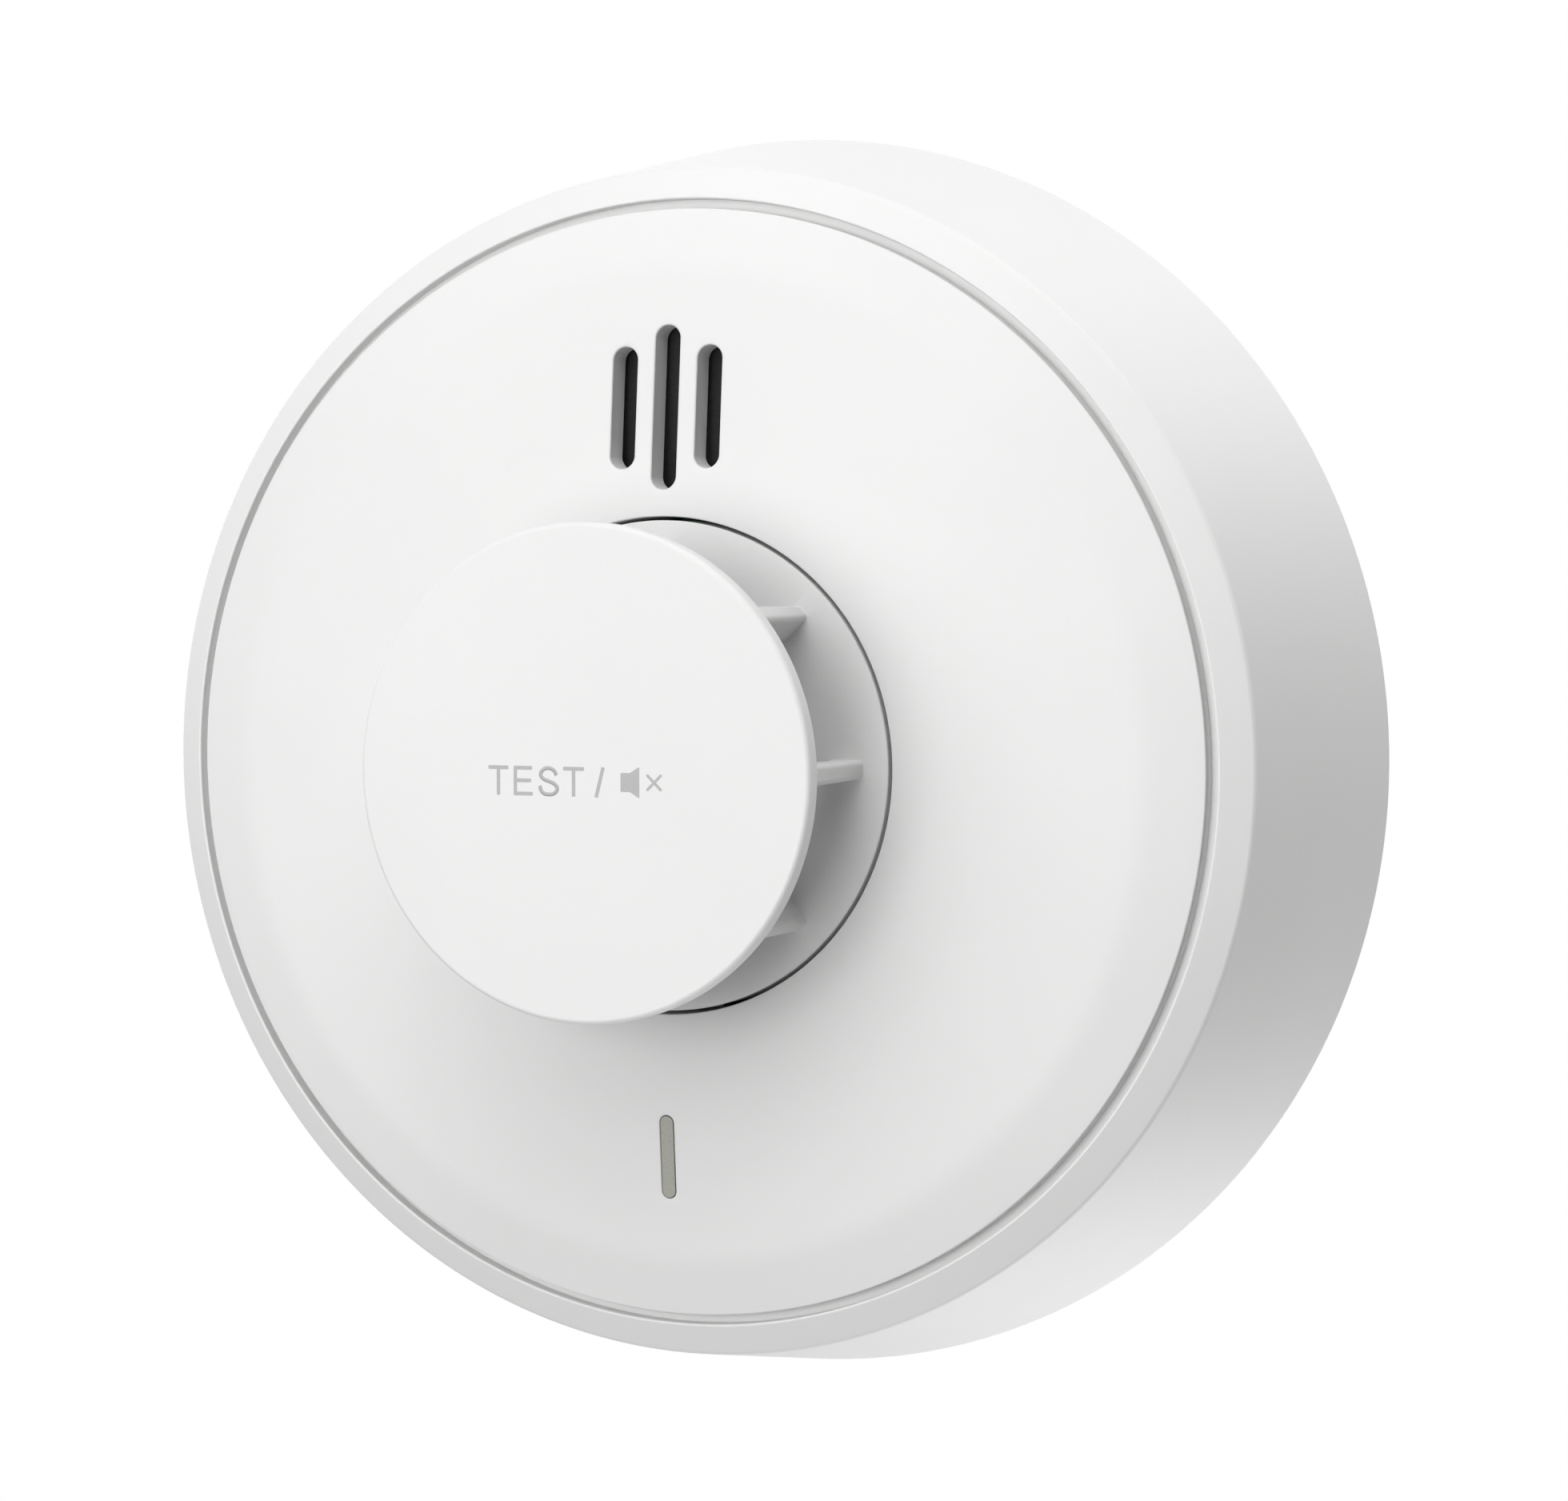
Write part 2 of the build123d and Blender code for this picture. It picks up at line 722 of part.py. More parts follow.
with BuildPart() as battery_tabs:
    for side in (-1, 1):
        with BuildSketch(Plane.XY.offset(side * cell_length / 2)):
            with BuildLine():
                Polyline(
                    (tab_start, -tab_bottom),
                    (tab_end, -tab_bottom),
                    (tab_end, -board_top - tab_stand_out),
                    (tab_end - tab_tongue, -board_top - tab_stand_out),
                    (tab_end - tab_tongue, -tab_bottom - tab_height),
                    (tab_start, -tab_bottom - tab_height),
                    close=True,
                )
            make_face()
        extrude(amount=side * tab_thickness)
finish(battery_tabs, "battery_tabs")

# ---------------------------------------------------------------- optical chamber

holder_size = 2 * (optics_radius + optics_gap + holder_wall)
holder_back = optics_back_radius - optics_collar_length
optics_height = chamber_floor + optics_rise
wire_radius = optics_back_radius + wire_size / 2
wire_places = [
    (wire_radius * cos(radians(angle)) - side * wire_spacing / 2 * sin(radians(angle)),
     wire_radius * sin(radians(angle)) + side * wire_spacing / 2 * cos(radians(angle)))
    for angle in optics_angles
    for side in (-1, 1)
]

with BuildPart() as chamber_base:
    with BuildSketch(section()):
        ring_profile(pedestal_radius - pedestal_wall, base_flange_radius, board_top, base_flange_top)
        ring_profile(pedestal_radius - pedestal_wall, pedestal_radius, board_top, chamber_floor)
        ring_profile(0, pedestal_radius, chamber_floor - pedestal_wall, chamber_floor)
        ring_profile(pedestal_wall, screen_radius, chamber_floor - screen_lip_height, chamber_floor)
    revolve(axis=OUTWARD)
    for angle in optics_angles:
        with BuildSketch(level(chamber_floor)):
            with Locations(Location((*polar(holder_back - optics_length / 2, angle), 0), (0, 0, angle))):
                Rectangle(optics_length, holder_size)
        extrude(amount=optics_rise + holder_size / 2)
    for angle in optics_angles:
        inward = Plane(
            origin=section(angle).from_local_coords((optics_back_radius, optics_height, 0)),
            z_dir=-section(angle).x_dir,
        )
        with BuildSketch(inward):
            Circle(optics_radius + optics_gap)
        extrude(amount=optics_back_radius - wire_size, mode=Mode.SUBTRACT)
    with BuildSketch(level(chamber_floor)):
        with Locations(*wire_places):
            Circle(wire_size / 2 + wire_gap)
    extrude(amount=-pedestal_wall, mode=Mode.SUBTRACT)
    with BuildSketch(level(base_flange_top)):
        with Locations(*[polar(spring_circle, angle) for angle in spring_angles]):
            Circle(spring_radius + spring_wire)
    extrude(amount=-spring_pocket_depth, mode=Mode.SUBTRACT)
    with BuildSketch(level(board_top)):
        with Locations((switch_offset + switch_size / 2, 0)):
            Rectangle(2 * switch_size + 2 * switch_gap, switch_size + 2 * switch_gap)
    extrude(amount=base_flange_thickness, mode=Mode.SUBTRACT)
finish(chamber_base, "chamber_base")

with BuildPart() as labyrinth:
    with BuildSketch(level(chamber_floor)):
        with PolarLocations(0, baffle_count):
            Polygon(
                (baffle_inner_radius, baffle_bend),
                (baffle_bend_radius, 0),
                (baffle_outer_radius, baffle_bend),
                (baffle_outer_radius, baffle_bend - baffle_thickness),
                (baffle_bend_radius, -baffle_thickness),
                (baffle_inner_radius, baffle_bend - baffle_thickness),
                align=None,
            )
    extrude(amount=chamber_top - chamber_lid - chamber_floor)
    with BuildSketch(level(chamber_top - chamber_lid)):
        Circle(pedestal_radius)
    extrude(amount=chamber_lid)
finish(labyrinth, "labyrinth")

with BuildPart() as insect_screen:
    with BuildSketch(level(chamber_floor)):
        Circle(screen_radius)
        Circle(screen_radius - screen_wall, mode=Mode.SUBTRACT)
    extrude(amount=chamber_top - chamber_floor)
    with BuildSketch(level(chamber_floor + screen_border)):
        with PolarLocations(screen_radius, screen_slot_count):
            Rectangle(screen_gap * 2, screen_slot_width)
    extrude(amount=chamber_top - chamber_floor - 2 * screen_border, mode=Mode.SUBTRACT)
finish(insect_screen, "insect_screen")


def optic(angle, number):
    """A round-nosed 3 mm optical part that looks at the middle, with two wires down to the board."""
    frame = section(angle)
    inward = Plane(
        origin=frame.from_local_coords((optics_back_radius, optics_height, 0)), z_dir=-frame.x_dir
    )
    with BuildPart() as body:
        with BuildSketch(inward):
            Circle(optics_radius + optics_collar)
        extrude(amount=optics_collar_length)
        with BuildSketch(inward):
            Circle(optics_radius)
        extrude(amount=optics_length)
        nose = body.faces().sort_by(Axis(inward.origin, inward.z_dir))[-1]
        fillet(nose.edges(), optics_radius * 0.9)
        with BuildSketch(level(board_bottom - wire_tail)):
            with Locations(*wire_places[2 * number : 2 * number + 2]):
                Rectangle(wire_size, wire_size, rotation=angle)
        extrude(amount=optics_height + wire_size / 2 - board_bottom + wire_tail)
    return body


infrared_emitter = optic(optics_angles[0], 0)
finish(infrared_emitter, "infrared_emitter")
photodiode = optic(optics_angles[1], 1)
finish(photodiode, "photodiode")

# ---------------------------------------------------------------- circuit board

tab_place = tab_end - tab_tongue / 2

with BuildPart() as circuit_board:
    with BuildSketch(level(board_bottom)):
        Circle(board_radius)
        with Locations((board_edge, 0)):
            Rectangle(board_radius, 2 * board_radius, align=(Align.MAX, Align.CENTER), mode=Mode.SUBTRACT)
        with Locations(*boss_places):
            Circle(boss_radius + board_edge_gap, mode=Mode.SUBTRACT)
        with Locations(*board_screw_places):
            Circle(board_screw_shank + board_hole_gap, mode=Mode.SUBTRACT)
        with Locations(*wire_places):
            Circle(wire_size / 2 + wire_gap, mode=Mode.SUBTRACT)
        with Locations(
            (tab_place, (cell_length + tab_thickness) / 2), (tab_place, -(cell_length + tab_thickness) / 2)
        ):
            Rectangle(tab_tongue + 2 * wire_gap, tab_thickness + 2 * wire_gap, mode=Mode.SUBTRACT)
    extrude(amount=board_thickness)
finish(circuit_board, "circuit_board")

with BuildPart() as microcontroller:
    with BuildSketch(level(board_top + lead_height / 2)):
        with Locations(controller_place):
            Rectangle(controller_size, controller_size)
    extrude(amount=controller_height - lead_height / 2)
    chamfer(microcontroller.faces().sort_by(Axis.Y)[0].edges(), lead_height / 2)
    with BuildSketch(level(board_top)):
        with Locations(controller_place):
            with GridLocations(controller_size, lead_pitch, 2, controller_leads):
                Rectangle(2 * lead_reach, lead_width)
            with GridLocations(lead_pitch, controller_size, controller_leads, 2):
                Rectangle(lead_width, 2 * lead_reach)
    extrude(amount=lead_height)
finish(microcontroller, "microcontroller")

with BuildPart() as boost_inductor:
    with BuildSketch(level(board_top)):
        with Locations(inductor_place):
            Circle(inductor_radius)
    extrude(amount=inductor_flange)
    with BuildSketch(level(board_top)):
        with Locations(inductor_place):
            Circle(inductor_radius - inductor_flange)
    extrude(amount=inductor_height)
    with BuildSketch(level(board_top + inductor_height - inductor_flange)):
        with Locations(inductor_place):
            Circle(inductor_radius)
    extrude(amount=inductor_flange)
finish(boost_inductor, "boost_inductor")

with BuildPart() as storage_capacitor:
    with BuildSketch(level(board_top)):
        with Locations(capacitor_place):
            Rectangle(2 * capacitor_radius, 2 * capacitor_radius)
    extrude(amount=capacitor_base)
    chamfer(
        storage_capacitor.edges().filter_by(Axis.Y).group_by(Axis.X)[-1], capacitor_radius / 3
    )
    with BuildSketch(level(board_top + capacitor_base)):
        with Locations(capacitor_place):
            Circle(capacitor_radius - fit_gap / 2)
    extrude(amount=capacitor_height - capacitor_base)
    fillet(storage_capacitor.faces().sort_by(Axis.Y)[0].edges(), fit_gap)
finish(storage_capacitor, "storage_capacitor")

with BuildPart() as chip_capacitors:
    with BuildSketch(level(board_top)):
        with Locations(chip_places):
            with GridLocations(0, chip_row_pitch, 1, chip_rows):
                Rectangle(chip_width, chip_length)
    extrude(amount=chip_width)
finish(chip_capacitors, "chip_capacitors")

# ---------------------------------------------------------------- sounder

cup_ledge_top = board_top + cup_ledge_height
cup_bore_radius = cup_radius - cup_wall

with BuildPart() as sounder_cup:
    with BuildSketch(level(board_top)):
        with Locations((0, sounder_centre)):
            Circle(cup_radius)
            Circle(cup_bore_radius, mode=Mode.SUBTRACT)
    extrude(amount=cup_height)
    with BuildSketch(level(board_top)):
        with Locations((0, sounder_centre)):
            Circle(cup_radius)
            Circle(cup_bore_radius - cup_ledge_width, mode=Mode.SUBTRACT)
    extrude(amount=cup_ledge_height)
finish(sounder_cup, "sounder_cup")

with BuildPart() as sounder_disc:
    with BuildSketch(level(cup_ledge_top)):
        with Locations((0, sounder_centre)):
            Circle(sounder_disc_radius)
    extrude(amount=sounder_disc_thickness)
finish(sounder_disc, "sounder_disc")

with BuildPart() as sounder_wafer:
    with BuildSketch(level(cup_ledge_top)):
        with Locations((0, sounder_centre)):
            Circle(wafer_radius)
    extrude(amount=-wafer_thickness)
finish(sounder_wafer, "sounder_wafer")

with BuildPart() as sounder_contacts:
    for place, top in ((0, cup_ledge_top - wafer_thickness), (contact_offset, cup_ledge_top)):
        with BuildSketch(Plane.YZ.offset(place)):
            with Locations((-(board_top + top) / 2, sounder_centre)):
                Rectangle(top - board_top, contact_length)
            with Locations((-(board_top + top) / 2, sounder_centre + contact_sheet)):
                Rectangle(top - board_top - 2 * contact_sheet, contact_length, mode=Mode.SUBTRACT)
        extrude(amount=contact_width / 2, both=True)
finish(sounder_contacts, "sounder_contacts")

with BuildPart() as sounder_gasket:
    with BuildSketch(level(cup_top)):
        with Locations((0, sounder_centre)):
            Circle(cup_radius)
            Circle(cup_bore_radius, mode=Mode.SUBTRACT)
    extrude(amount=gasket_thickness)
finish(sounder_gasket, "sounder_gasket")

# Keeps dust off the disc: it lies in the duct, just under the slots
with BuildPart() as slot_gauze:
    with BuildSketch(level(band_height - cover_wall - gauze_gap)):
        with Locations((0, sounder_centre)):
            Circle(sounder_centre - hub_bore_radius - collar_wall - gauze_gap)
    extrude(amount=-gauze_thickness)
finish(slot_gauze, "slot_gauze")

# ---------------------------------------------------------------- indicator

with BuildPart() as light_pipe:
    with BuildSketch(level(pipe_flange_top)):
        with Locations((0, -light_slot_centre)):
            SlotOverall(light_slot_length - 2 * lens_gap, light_slot_width - 2 * lens_gap, rotation=90)
    extrude(amount=crown_height - pipe_flange_top)
    add(cover_space.part, mode=Mode.INTERSECT)
    with BuildSketch(level(pipe_flange_top)):
        with Locations((0, -light_slot_centre)):
            RectangleRounded(pipe_flange_length, pipe_flange_width, pipe_flange_width / 4)
    extrude(amount=-pipe_flange_thickness)
    with BuildSketch(level(indicator_top + pipe_gap)):
        with Locations((0, -light_slot_centre)):
            RectangleRounded(pipe_tail_width, pipe_tail_length, pipe_tail_width / 4)
    extrude(amount=pipe_flange_top - pipe_flange_thickness / 2 - indicator_top - pipe_gap)
    with BuildSketch(level(pipe_flange_top)):
        with Locations((-stake_spacing / 2, -light_slot_centre), (stake_spacing / 2, -light_slot_centre)):
            Circle(stake_radius + spigot_gap)
    extrude(amount=-pipe_flange_thickness, mode=Mode.SUBTRACT)
finish(light_pipe, "light_pipe")

with BuildPart() as indicator_led:
    with BuildSketch(level(board_top)):
        with Locations((0, -light_slot_centre)):
            Rectangle(indicator_width, indicator_length)
    extrude(amount=indicator_height / 2)
    with BuildSketch(level(board_top + indicator_height / 2)):
        with Locations((0, -light_slot_centre)):
            SlotOverall(indicator_length * 2 / 3, 2 * indicator_dome_radius, rotation=90)
    extrude(amount=indicator_height / 2)
finish(indicator_led, "indicator_led")

# ---------------------------------------------------------------- switch and springs

plunger_foot = board_top + switch_height - plunger_depth

with BuildPart() as switch_body:
    with BuildSketch(level(board_top)):
        with Locations((switch_offset, 0)):
            Rectangle(switch_size, switch_size)
    extrude(amount=switch_height)
    with BuildSketch(level(plunger_foot - button_travel - touch_gap)):
        with Locations((switch_offset, 0)):
            Circle(plunger_radius + touch_gap)
    extrude(amount=switch_height, mode=Mode.SUBTRACT)
finish(switch_body, "switch_body")

with BuildPart() as switch_plunger:
    with BuildSketch(level(plunger_foot)):
        with Locations((switch_offset, 0)):
            Circle(plunger_radius)
    extrude(amount=plunger_top - plunger_foot)
    chamfer(switch_plunger.faces().sort_by(Axis.Y)[0].edges(), plunger_radius / 4)
finish(switch_plunger, "switch_plunger")

spring_length = flange_bottom - spring_seat - spring_wire

with BuildPart() as return_springs:
    for angle in spring_angles:
        foot = section(angle).from_local_coords((spring_circle, spring_seat + spring_wire / 2, 0))
        with BuildLine():
            coil = Helix(
                pitch=spring_length / spring_turns,
                height=spring_length,
                radius=spring_radius - spring_wire / 2,
                center=foot,
                direction=(0, -1, 0),
            )
        with BuildSketch(Plane(origin=coil @ 0, z_dir=coil % 0)):
            Circle(spring_wire / 2)
        sweep()
finish(return_springs, "return_springs")
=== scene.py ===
"""Round optical smoke alarm: the visible model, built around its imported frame.

The wall is the plane Y = 0 and the alarm stands out of it along -Y, with +Z up and +X to the right as seen from the
room. A height is a distance out of the wall, so a height h lies at Y = -h. Lengths are in metres.
"""

import math

import bmesh
import bpy
from bpy.props import FloatProperty, FloatVectorProperty, IntProperty, PointerProperty
from mathutils import Matrix, Vector


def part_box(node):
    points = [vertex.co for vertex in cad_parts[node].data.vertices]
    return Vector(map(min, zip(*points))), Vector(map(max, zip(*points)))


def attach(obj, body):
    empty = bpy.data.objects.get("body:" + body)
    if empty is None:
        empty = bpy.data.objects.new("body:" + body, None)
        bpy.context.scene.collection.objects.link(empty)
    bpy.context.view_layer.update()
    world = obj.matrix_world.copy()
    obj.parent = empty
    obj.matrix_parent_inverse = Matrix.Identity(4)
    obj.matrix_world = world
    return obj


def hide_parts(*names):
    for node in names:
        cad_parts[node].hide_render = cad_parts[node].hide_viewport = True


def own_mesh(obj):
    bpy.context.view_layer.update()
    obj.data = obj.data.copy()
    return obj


bl_info = {
    "name": "Smoke Alarm",
    "version": (1, 0, 0),
    "blender": (4, 5, 0),
    "location": "View3D > Sidebar > Alarm",
    "description": "Builds a round optical smoke alarm around its packed frame",
    "category": "Add Mesh",
}

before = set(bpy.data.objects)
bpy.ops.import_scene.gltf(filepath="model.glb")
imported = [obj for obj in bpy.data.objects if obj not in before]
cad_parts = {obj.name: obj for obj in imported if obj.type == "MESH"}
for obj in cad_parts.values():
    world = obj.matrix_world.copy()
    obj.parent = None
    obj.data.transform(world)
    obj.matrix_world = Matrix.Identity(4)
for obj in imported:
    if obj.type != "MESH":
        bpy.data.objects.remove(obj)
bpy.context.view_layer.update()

MM = 0.001
MIDDLE = (0.0, 0.0, 0.0)
OUTWARD = (0.0, -1.0, 0.0)
SAME_PLACE = 1e-7
SHARP_EDGE = math.radians(33)

# Steps of what is turned about the axis
TURN_STEPS = 256
DUCT_STEPS = 96
FLOOR_STEPS = 96
SLOT_STEPS = 48
BOSS_STEPS = 40
POST_STEPS = 32
HOOK_STEPS = 12
STOP_STEPS = 3
# Nine steps keep a pocket's corners off the full turn's, which would leave slivers where the two nearly meet
POCKET_STEPS = 9

# Steps of the crown's curve, of a rounded edge, and of a curve and a corner of the print
ARC_STEPS = 20
ROUND_STEPS = 5
CURVE_STEPS = 6
PRINT_STEPS = 3

# How far back the lesser edges are rounded
CRISP, FINE, EDGE, SOFT, WIDE = 0.05 * MM, 0.1 * MM, 0.15 * MM, 0.2 * MM, 0.3 * MM
# How far a shape sinks into what it is joined to, and how far it passes what it is cut from
SUNK, PAST = 0.3 * MM, 0.2 * MM
# How near to the duct's end a point belongs to it
NEAR_END = 0.1 * MM

# Share of the crown and of the outer band that their curves take up on each side of the middle
CROWN_REACH = 0.46
BAND_REACH = 0.3

# How many bosses, hooks and spring posts there are, and where the first one lies in degrees from +X towards +Z
BOSS_COUNT, BOSS_TURN = 4, 45
HOOK_COUNT, HOOK_TURN = 3, 30
POST_COUNT, POST_TURN = 3, 60
TAB_ANGLES = (0, 70, 110, 180, 250, 290)
# How far the end of a snap tab's hook slopes back
TAB_SLOPE = 0.2 * MM

# The tool that cuts the cover's slots: its depth in walls, and the angle of its flare and its width in roundings
SLOT_DEPTH = 2.5
RIM_FLARE = math.radians(15)
RIM_WIDTH = 4

# A stop's span with its overlap with the hook, and the bevels of a screw slot at the wall and at the front
STOP_REACH = 1.01
WALL_BEVEL = 0.3 * MM
FRONT_BEVEL = 0.2 * MM

# Pockets to each side of a row's middle, how far the rows keep off the plate's opening and ring, and the rib between
POCKET_PAIRS = 2
POCKET_INSET = 3.5 * MM
POCKET_OUTSET = 2.0 * MM
POCKET_RIB = (28.0 * MM, 29.4 * MM)
# The arrow that marks the top, as x and z in millimetres
ARROW = ((-2.4, 18.6), (2.4, 18.6), (0.0, 22.8))
ARROW_DEPTH = 0.4 * MM

# How far a vane sinks into the flange, and the gaps that keep the vanes off the disc and the pusher off the plunger
VANE_SUNK = 0.01 * MM
CAP_GAP = 0.02 * MM
PLUNGER_GAP = 0.05 * MM
# How far the stems of the hub's hooks keep inside its rim
HOOK_INSET = 0.1 * MM

# How far the ends of the cross are rounded, as a share of its stroke
CROSS_ROUND = 0.45

# Plastic: its grain's detail, the darkest tone of its drift, the drift's size in millimetres and the roughness's swing
GRAIN_DETAIL, DRIFT_TONE, DRIFT_SIZE, SHEEN_SWING = 3.0, 0.985, 18.0, 0.06
# Metal: its streaks' detail, their darkest tone and their depth, and how much rougher and smoother they get
STREAK_DETAIL, STREAK_TONE, STREAK_DEPTH, ROUGHER, SMOOTHER = 4.0, 0.88, 0.002 * MM, 0.1, 0.05
# Ink: its roughness, the size of its speckle in millimetres, the depth, and the darkest and the lightest tone
INK_ROUGHNESS, SPECKLE_SIZE, SPECKLE_DEPTH, SPECKLE_TONES = 0.55, 0.12, 0.003 * MM, (0.96, 1.04)
# The part of a noise's range that colours and roughness follow
TONE_RANGE = (0.35, 0.65)
SHEEN_RANGE = (0.3, 0.7)

# The nearest and the farthest that the camera sees, and the floor's roughness
CLIP_NEAR, CLIP_FAR = 0.01, 10.0
FLOOR_ROUGHNESS = 0.9


def reach(node):
    """How far a node of the frame reaches to the right."""
    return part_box(node)[1].x


def top(node):
    """The greatest height of a node of the frame."""
    return -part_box(node)[0].y


# ---------------------------------------------------------------- sizes and colours a user can change


def length(name, description, default):
    """A length in metres."""
    return FloatProperty(name=name, description=description, default=default, unit="LENGTH", precision=5)


def turn(name, description, default):
    """An angle whose default is in degrees."""
    return FloatProperty(name=name, description=description, default=math.radians(default), subtype="ANGLE")


def amount(name, description, default):
    """A plain number."""
    return FloatProperty(name=name, description=description, default=default, precision=3)


def count(name, description, default):
    """A whole number of like things."""
    return IntProperty(name=name, description=description, default=default, min=1)


def colour(name, description, default):
    """A linear colour."""
    return FloatVectorProperty(
        name=name, description=description, default=default, subtype="COLOR", min=0.0, max=1.0
    )


class AlarmShell(bpy.types.PropertyGroup):
    """Sizes of the drum and the front cover"""

    drum_radius: length("Drum radius", "Radius of the drum at the wall", reach("outer_housing"))
    drum_draft: length("Drum draft", "How much narrower the drum is at its shoulder", 4.3 * MM)
    drum_wall: length("Drum wall", "Thickness of the drum's wall", 2.2 * MM)
    wall_gap: length("Wall gap", "Gap between the drum and the wall", 0.5 * MM)
    shoulder_height: length("Shoulder height", "Height at which the front chamfer starts", 22.2 * MM)
    shoulder_round: length("Shoulder round", "How far back the shoulder is rounded", 0.3 * MM)
    lip_height: length("Lip height", "Height of the chamfer's inner edge", top("outer_housing"))
    chamfer_width: length("Chamfer width", "Width of the front chamfer", 2.67 * MM)
    lip_round: length("Lip round", "How far back the chamfer's inner edge is rounded", 0.28 * MM)
    groove_width: length("Groove width", "Width of the groove round the cover", 0.78 * MM)
    groove_depth: length("Groove depth", "Depth of the groove below the lip", 1.2 * MM)
    ledge_seat: length("Ledge seat", "How far the ledge reaches under the cover", 0.75 * MM)
    rim_gap: length("Rim gap", "Shadow gap between the cover's rim and the ledge", 0.13 * MM)
    ledge_thickness: length("Ledge thickness", "Thickness of the ledge", 1.5 * MM)
    cover_wall: length("Cover wall", "Thickness of the front cover", 2.2 * MM)
    cover_edge_height: length("Cover edge height", "Height of the cover at its rim", 23.8 * MM)
    cover_edge_round: length("Cover edge round", "How far back the cover's rim is rounded", 0.13 * MM)
    crown_height: length("Crown height", "Height of the cover at the hub", top("front_cover"))
    crown_sag: length("Crown sag", "How far the crown's middle lies below a straight cone", 0.05 * MM)
    band_height: length("Band height", "Height at which the outer band starts", 25.0 * MM)
    band_width: length("Band width", "Width of the outer band that falls faster", 4.75 * MM)
    band_bulge: length("Band bulge", "How far the band's middle stands above a straight cone", 0.02 * MM)
    band_round: length("Band round", "How far back the crown's edge is softened", 0.7 * MM)
    skirt_wall: length("Skirt wall", "Thickness of the skirt inside the ledge", 1.7 * MM)
    skirt_depth: length("Skirt depth", "How far the skirt reaches below the ledge's face", 1.4 * MM)
    collar_wall: length("Collar wall", "Thickness of the collar round the hub", 1.5 * MM)
    collar_bottom: length("Collar bottom", "Height of the collar's and the sounder duct's foot", 20.7 * MM)
    fit_gap: length("Fit gap", "Gap between parts that slide together", 0.3 * MM)
    bore_round: length("Bore round", "How far back the edges of the hub's seam are rounded", 0.12 * MM)
    slot_centre: length("Slot centre", "Distance of the sounder slots from the middle", 28.35 * MM)
    slot_pitch: length("Slot pitch", "Distance between neighbouring sounder slots", 3.7 * MM)
    slot_width: length("Slot width", "Width of a sounder slot", 2.15 * MM)
    middle_slot: length("Middle slot length", "Length of the middle sounder slot", 13.0 * MM)
    side_slot: length("Side slot length", "Length of the other two sounder slots", 9.7 * MM)
    slot_round: length("Slot round", "How far back the slots' rims are rounded", 0.12 * MM)
    duct_centre: length("Duct centre", "Distance of the sounder duct from the middle", 31.0 * MM)
    duct_radius: length("Duct radius", "Inside radius of the sounder duct", 10.1 * MM)
    duct_wall: length("Duct wall", "Thickness of the sounder duct", 1.0 * MM)
    light_centre: length("Light slot centre", "Distance of the light slot from the middle", 31.25 * MM)
    light_length: length("Light slot length", "Length of the light slot", 6.75 * MM)
    light_width: length("Light slot width", "Width of the light slot", 1.26 * MM)
    light_round: length("Light slot round", "How far back the light slot's rim is rounded", 0.06 * MM)
    boss_pitch: length("Boss pitch radius", "Distance of the screw bosses from the middle", 42.61 * MM)
    boss_radius: length("Boss radius", "Radius of a screw boss", 2.8 * MM)
    boss_bore: length("Boss bore", "Radius of a screw boss's hole", 1.25 * MM)
    boss_foot: length("Boss foot", "Height of a screw boss's foot", 9.6 * MM)
    boss_bore_top: length("Boss bore end", "Height at which a screw boss's hole ends", 18.0 * MM)
    boss_rib: length("Boss rib", "Thickness of the rib between boss and wall", 1.6 * MM)
    tab_width: length("Tab width", "Width of a snap tab of the cover", 6.0 * MM)
    tab_wall: length("Tab wall", "Thickness of a snap tab", 1.5 * MM)
    tab_hook: length("Tab hook", "How far a snap tab hooks under the ledge", 0.8 * MM)


class AlarmPlate(bpy.types.PropertyGroup):
    """Sizes of the mounting plate"""

    plate_radius: length("Plate radius", "Radius of the mounting plate", reach("mounting_plate"))
    plate_height: length("Plate height", "Height of the plate's ring and hooks", top("mounting_plate"))
    plate_thickness: length("Plate thickness", "Thickness of the plate's floor", 2.0 * MM)
    plate_bore: length("Plate bore", "Radius of the opening in the middle", 15.0 * MM)
    collar_wall: length("Plate collar wall", "Thickness of the collar round the opening", 1.2 * MM)
    collar_height: length("Plate collar height", "How far the collar stands above the floor", 2.0 * MM)
    ring_radius: length("Ring radius", "Outside radius of the ring inside the hooks", 42.2 * MM)
    ring_wall: length("Ring wall", "Thickness of the ring", 1.6 * MM)
    hook_count: count("Hooks", "Number of twist hooks", 3)
    hook_start: turn("Hook start", "Angle at which the first hook starts", 20.0)
    hook_span: turn("Hook span", "Angle that a hook takes", 14.0)
    hook_thickness: length("Hook thickness", "Thickness of a hook", 1.3 * MM)
    stop_span: turn("Stop span", "Angle that a stop takes", 2.5)
    screw_spacing: length("Screw spacing", "Distance between the two screw slots", 60.0 * MM)
    screw_slot: length("Screw slot length", "Length of a screw slot", 9.0 * MM)
    screw_slot_width: length("Screw slot width", "Width of a screw slot", 4.6 * MM)
    pocket_depth: length("Pocket depth", "Depth of the coring in the wall side", 0.9 * MM)
    pocket_span: turn("Pocket span", "Angle that a coring pocket takes", 20.0)
    rib_span: turn("Rib span", "Angle that a rib between pockets takes", 2.0)


